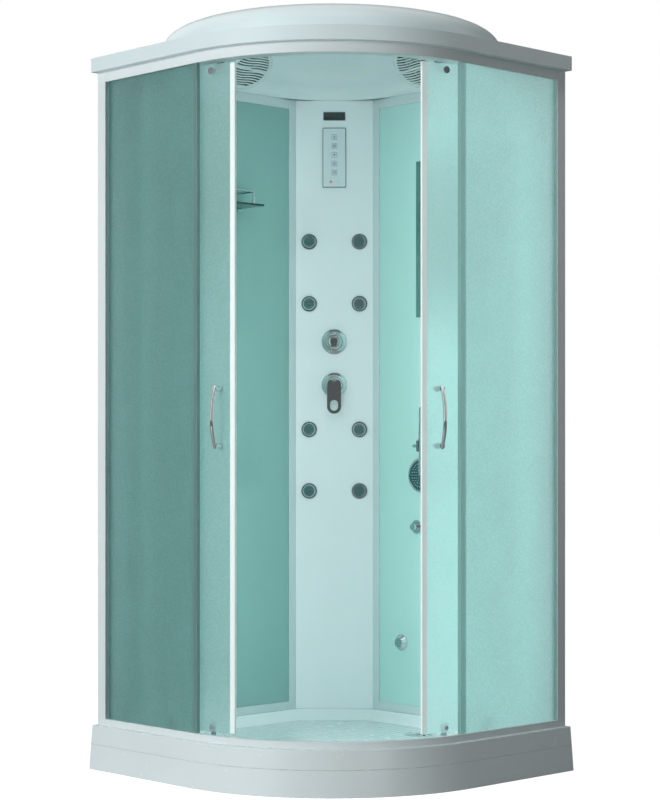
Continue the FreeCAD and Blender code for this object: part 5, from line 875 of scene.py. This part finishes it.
@dataclass
class Column:
    """What stands on the column panel."""

    jet_across: float = 81.0
    jet_rows: tuple[float, ...] = (1613.0, 1413.0, 1008.0, 810.0)
    tilts: tuple[tuple[float, float], ...] = ((12, 0), (2, -8), (8, -10), (-10, -8), (2, -12), (-8, -10),
                                              (0, -12), (8, -8))
    mixer: float = 1151.0
    diverter: float = 1291.0
    panel_low: float = 1788.0
    panel_width: float = 75.6
    panel_height: float = 192.0
    key_first: float = 1836.0
    key_pitch: float = 28.5
    badge: float = 2018.0

    def escutcheon(self, shop: Workshop, name: str, height: float) -> None:
        """A shallow bell-shaped plate."""
        form = Form()
        form.spin(((11.0, 0.0), (41.0, 0.0), (41.0, 2.2), (40.4, 3.4), (38.8, 4.2), (36.0, 4.6), (33.0, 5.2),
                   (30.0, 6.6), (27.6, 7.8), (26.4, 8.0), (11.0, 8.0)), 72, closed=True)
        shop.deliver(form, name + "_bell", column_frame(0.0, height), (Finish.CHROME,), name)

    def knob(self, shop: Workshop) -> None:
        """The diverter knob with its dished, framed front."""
        form = Form()
        form.spin(((0.0, 20.5), (9.5, 20.5), (9.5, 8.5), (24.2, 8.5), (25.0, 9.3), (25.0, 29.0), (24.6, 31.6),
                   (23.0, 34.4), (20.6, 36.0), (18.8, 36.4), (17.6, 36.1), (15.0, 35.2), (8.0, 34.5), (0.0, 34.3)), 72)
        shop.deliver(form, "diverter_knob_dished", column_frame(0.0, self.diverter), (Finish.CHROME,),
                     "diverter_knob")

    def control_panel(self, shop: Workshop) -> None:
        """Dark-lined panel with five outlined keys, each with a plain mark, and a red lamp."""
        form = Form()
        middle = self.panel_low + self.panel_height / 2
        form.plate(self.panel_width, self.panel_height, 4.6, corner=3.0, edge=0.7, material=1)
        form.plate(self.panel_width - 4.0, self.panel_height - 4.0, 0.6, corner=2.2, edge=0.2, at=(0, 0, 4.4))
        for index in range(5):
            y = self.key_first + index * self.key_pitch - middle
            form.plate(17.0, 17.0, 0.4, corner=2.4, at=(0, y, 4.8), material=1)
            form.plate(15.4, 15.4, 0.7, corner=1.9, edge=0.2, at=(0, y, 4.8), material=2)
            self._mark(form, index, y)
        y = self.key_first - 30.0 - middle
        for x, slot in ((-11.0, 3), (11.0, 2)):
            form.spin(((3.1, 4.9), (4.4, 4.9), (4.4, 5.5), (3.1, 5.5)), 24, closed=True, material=slot, centre=(x, y))
            form.spin(((0.0, 4.9), (1.6, 4.9), (1.6, 5.4), (0.0, 5.6)), 20, material=slot, centre=(x, y))
        shop.deliver(form, "key_panel", column_frame(0.0, middle),
                     (Finish.PANEL, Finish.PANEL_LINE, Finish.KEY, Finish.LAMP), "control_panel")

    @staticmethod
    def _mark(form: Form, index: int, y: float) -> None:
        """A plain mark on a key: ring, bars, dot or cross."""
        if index in (0, 3):
            form.spin(((3.4, 5.4), (4.8, 5.4), (4.8, 5.7), (3.4, 5.7)), 20, closed=True, material=1, centre=(0, y))
        if index in (1, 4):
            for step in (-3.0, 0.0, 3.0):
                form.plate(8.0, 1.2, 0.3, at=(0, y + step, 5.4), material=1)
        if index == 2:
            for turn in (0.0, 90.0):
                form.plate(9.0, 1.6, 0.3, at=(0, y, 5.4), material=1, turn=turn)
        if index == 3:
            form.spin(((0.0, 5.4), (1.5, 5.4), (1.5, 5.7), (0.0, 5.7)), 16, material=1, centre=(0, y))

    def badge_plate(self, shop: Workshop) -> None:
        """A bare dark plate in a thin bright rim."""
        form = Form()
        form.plate(72.5, 28.6, 2.4, corner=2.5, edge=0.6, material=1)
        form.plate(69.5, 25.6, 0.6, corner=1.8, edge=0.2, at=(0, 0, 2.2))
        shop.deliver(form, "bare_badge", column_frame(0.0, self.badge), (Finish.BADGE, Finish.CHROME),
                     "badge_plate")

    def build(self, shop: Workshop) -> None:
        """Place every fitting of the column."""
        self.escutcheon(shop, "mixer_plate", self.mixer)
        self.escutcheon(shop, "diverter_plate", self.diverter)
        self.knob(shop)
        shop.ease("mixer_cap", Finish.CHROME, 0.8)
        shop.ease("mixer_lever", Finish.CHROME, 2.2, crease=35.0, segments=4)
        shop.ease("valve_bodies", Finish.BRASS, 1.0)
        shop.ease("jet_sockets", Finish.CHROME, 1.6, segments=3)
        for index, (up, right) in enumerate(self.tilts):
            across = self.jet_across * (-1 if index % 2 == 0 else 1)
            Jet(index + 1, across, self.jet_rows[index // 2], up, right).build(shop)
        self.control_panel(shop)
        self.badge_plate(shop)
        shop.ease("water_pipes", Finish.PIPE, 0.5)
        shop.ease("steam_generator", Finish.STEEL, 1.5)
        shop.ease("steam_outlet", Finish.CHROME, 0.8)


@dataclass
class Accessories:
    """Shelf, mirror, hand shower and their fixings on the walls."""

    holder_along: float = 462.0
    holder_height: float = 955.0
    head_out: float = 77.0
    head_drop: float = 91.0
    head_radius: float = 53.5
    head_rings: Rings = ((6, 9.0), (12, 18.0), (18, 27.0), (26, 37.0))

    def handset(self, shop: Workshop) -> None:
        """Hand shower: a flared head with rings of outlets, a waisted grip and its thread."""
        form = Form()
        radius = self.head_radius
        form.spin(((0.0, -16.0), (24.0, -15.4), (34.0, -13.4), (44.0, -9.6), (51.0, -5.4), (radius, -2.6),
                   (radius, -1.0), (radius - 1.2, 0.0), (radius - 5.0, 0.0), (radius - 6.0, -0.9)), 72)
        form.spin(((radius - 6.0, -0.9), (radius - 8.0, -1.0), (20.0, -0.4), (0.0, -0.2)), 72, material=1)
        form.nub_rings(self.head_rings, -0.9, 1.3)
        form.move(Matrix.Translation((0.0, -self.head_drop, 0.0)))
        grip = Form()
        grip.spin(((0.0, 0.0), (11.0, 0.0), (11.4, 20.0), (11.5, 60.0), (11.5, 108.5), (14.0, 109.0), (14.4, 110.0),
                   (14.4, 113.0), (14.0, 114.5), (11.4, 115.5), (11.0, 180.0), (11.4, 196.0), (10.8, 200.0),
                   (10.4, 200.2), (10.4, 211.0), (9.6, 212.0), (0.0, 212.0)), 40)
        grip.move(Matrix.Translation((0.0, -self.head_drop, -8.0)) @ Matrix.Rotation(math.radians(-90), 4, "X"))
        form.absorb(grip.mesh)
        place = wall_frame(Side.RIGHT, self.holder_along, self.holder_height, self.head_out)
        shop.deliver(form, "hand_shower_body", place, (Finish.CHROME, Finish.SMOKED, Finish.NUB), "handset")

    def build(self, shop: Workshop) -> None:
        """Dress the shelf, the mirror and the hand shower's holder."""
        self.handset(shop)
        shop.ease("handset_holder", Finish.CHROME, 0.8)
        shop.ease("shelf_glass", Finish.CLEAR, 0.8)
        shop.ease("shelf_rail", Finish.CHROME, 0.6)
        shop.ease("mirror", Finish.MIRROR, 1.2)
        shop.ease("mirror_clips", Finish.CHROME, 0.8)


# ---------------------------------------------------------------- room, lamps and camera


@dataclass
class Lamp:
    """A soft rectangular lamp that looks at a point."""

    name: str
    place: Point
    target: Point
    size: tuple[float, float]
    power: float

    def build(self) -> None:
        """Hang the lamp."""
        light = bpy.data.lights.new(self.name, "AREA")
        light.shape = "RECTANGLE"
        light.size, light.size_y = self.size
        light.energy = self.power
        lamp = bpy.data.objects.new(self.name, light)
        lamp.location = self.place
        aim = Vector(self.target) - Vector(self.place)
        lamp.rotation_euler = aim.to_track_quat("-Z", "Y").to_euler()
        lamp.visible_camera = False
        lamp.visible_transmission = False
        lamp.visible_glossy = False
        bpy.context.scene.collection.objects.link(lamp)


@dataclass
class Studio:
    """Pale floor, white surround, soft lamps and the camera."""

    ambient: float = 0.12
    ambient_slope: float = -0.12
    bright_strips: tuple[Point, ...] = ((-0.8, 0.22, 0.4), (0.5, 0.1, 0.2), (1.7, 0.2, 0.4),
                                                             (-2.4, 0.3, 0.5))
    strip_level: float = 1.25
    between_strips: float = 0.12
    floor_glow: float = 0.92
    lens: float = 90.44
    camera_place: Point = (0.1233, -6.0463, 0.9625)
    camera_turn: float = 0.0212
    shift: float = 0.0545
    lamps: tuple[Lamp, ...] = (
        Lamp("left_key", (-3.6, -4.3, 2.1), (0.0, 0.0, 1.1), (1.4, 1.8), 178.0),
        Lamp("top_fill", (0.5, -1.6, 5.2), (0.1, -0.1, 2.1), (1.4, 1.4), 42.0),
        Lamp("doorway_fill", (-0.05, -0.42, 1.12), (0.05, 0.4, 1.12), (0.4, 1.85), 4.3),
    )

    def surround(self) -> None:
        """White for the camera and through glass, a soft slope as light, dark with bright strips in chrome."""
        world = bpy.data.worlds.new("surround")
        bpy.context.scene.world = world
        world.use_nodes = True
        wires = Wiring(world.node_tree)
        back = world.node_tree.nodes["Background"]
        rays = wires.add("ShaderNodeLightPath")
        way = wires.add("ShaderNodeSeparateXYZ", {0: wires.add("ShaderNodeTexCoord").outputs["Generated"]})
        level = wires.math("ADD", self.ambient, wires.math("MULTIPLY", way.outputs["X"], self.ambient_slope))
        ahead = wires.math("MULTIPLY", way.outputs["Y"], -1.0)
        bearing = wires.math("ARCTAN2", way.outputs["X"], ahead)
        bright = wires.ramp(way.outputs["Z"], 0.5, 0.8)
        for middle, inner, outer in self.bright_strips:
            off = wires.math("ABSOLUTE", wires.math("SUBTRACT", bearing, middle))
            bright = wires.math("MAXIMUM", bright, wires.math("SUBTRACT", 1.0, wires.ramp(off, inner, outer)))
        mirrored = wires.math("ADD", self.between_strips, wires.math("MULTIPLY", bright, self.strip_level))
        seen = wires.math("MAXIMUM", rays.outputs["Is Camera Ray"], rays.outputs["Is Transmission Ray"])
        glossy = wires.mix(rays.outputs["Is Glossy Ray"], self._grey(wires, level), self._grey(wires, mirrored))
        wires.feed(back, {"Color": wires.mix(seen, glossy, (1.0, 1.0, 1.0, 1.0))})

    @staticmethod
    def _grey(wires: Wiring, level: bpy.types.NodeSocket) -> bpy.types.NodeSocket:
        """A value as a grey."""
        return wires.add("ShaderNodeCombineColor", {0: level, 1: level, 2: level}).outputs[0]

    def floor(self) -> None:
        """A wide pale floor that keeps the cabin's shadow."""
        form = bmesh.new()
        bmesh.ops.create_grid(form, x_segments=2, y_segments=2, size=14.0)
        bmesh.ops.translate(form, verts=form.verts[:], vec=(0, 0, -0.0004))
        mesh = bpy.data.meshes.new("pale_floor")
        form.to_mesh(mesh)
        form.free()
        floor = bpy.data.objects.new("pale_floor", mesh)
        bpy.context.scene.collection.objects.link(floor)
        material, wires, shader = blank_material("pale_floor")
        pale = wires.mix(wires.noise(1.5, 2.0), (0.54, 0.54, 0.54, 1), (0.58, 0.58, 0.58, 1))
        wires.feed(shader, {"Base Color": pale, "Roughness": 0.9})
        rays = wires.add("ShaderNodeLightPath")
        shine = wires.math("MULTIPLY", rays.outputs["Is Camera Ray"], self.floor_glow)
        glow = wires.add("ShaderNodeEmission", {"Color": (1, 1, 1, 1), "Strength": shine})
        both = wires.add("ShaderNodeAddShader", {0: shader.outputs[0], 1: glow.outputs[0]})
        wires.feed(material.node_tree.nodes["Material Output"], {"Surface": both.outputs[0]})
        mesh.materials.append(material)

    def camera(self) -> None:
        """The camera at the place the photograph was taken from."""
        data = bpy.data.cameras.new("camera")
        data.lens = self.lens
        data.sensor_width = 36.0
        data.shift_y = self.shift
        camera = bpy.data.objects.new("camera", data)
        camera.location = self.camera_place
        camera.rotation_euler = (math.radians(90), 0.0, self.camera_turn)
        bpy.context.scene.collection.objects.link(camera)
        bpy.context.scene.camera = camera

    def build(self) -> None:
        """Set up floor, surround, lamps and camera."""
        bpy.context.scene.view_settings.view_transform = "Standard"
        self.surround()
        self.floor()
        for lamp in self.lamps:
            lamp.build()
        self.camera()
        LOG.info("studio ready")


def main() -> None:
    """Dress the whole cabin."""
    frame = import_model()
    shop = Workshop(frame)
    shop.prepare()
    for part in (Base(), Enclosure(), Doors(), Roof(), Column(), Accessories()):
        part.build(shop)
    Studio().build()
    LOG.info("pieces made: %d", shop.made)


if __name__ == "__main__":
    logging.basicConfig(level=logging.INFO, format="%(message)s")
    main()
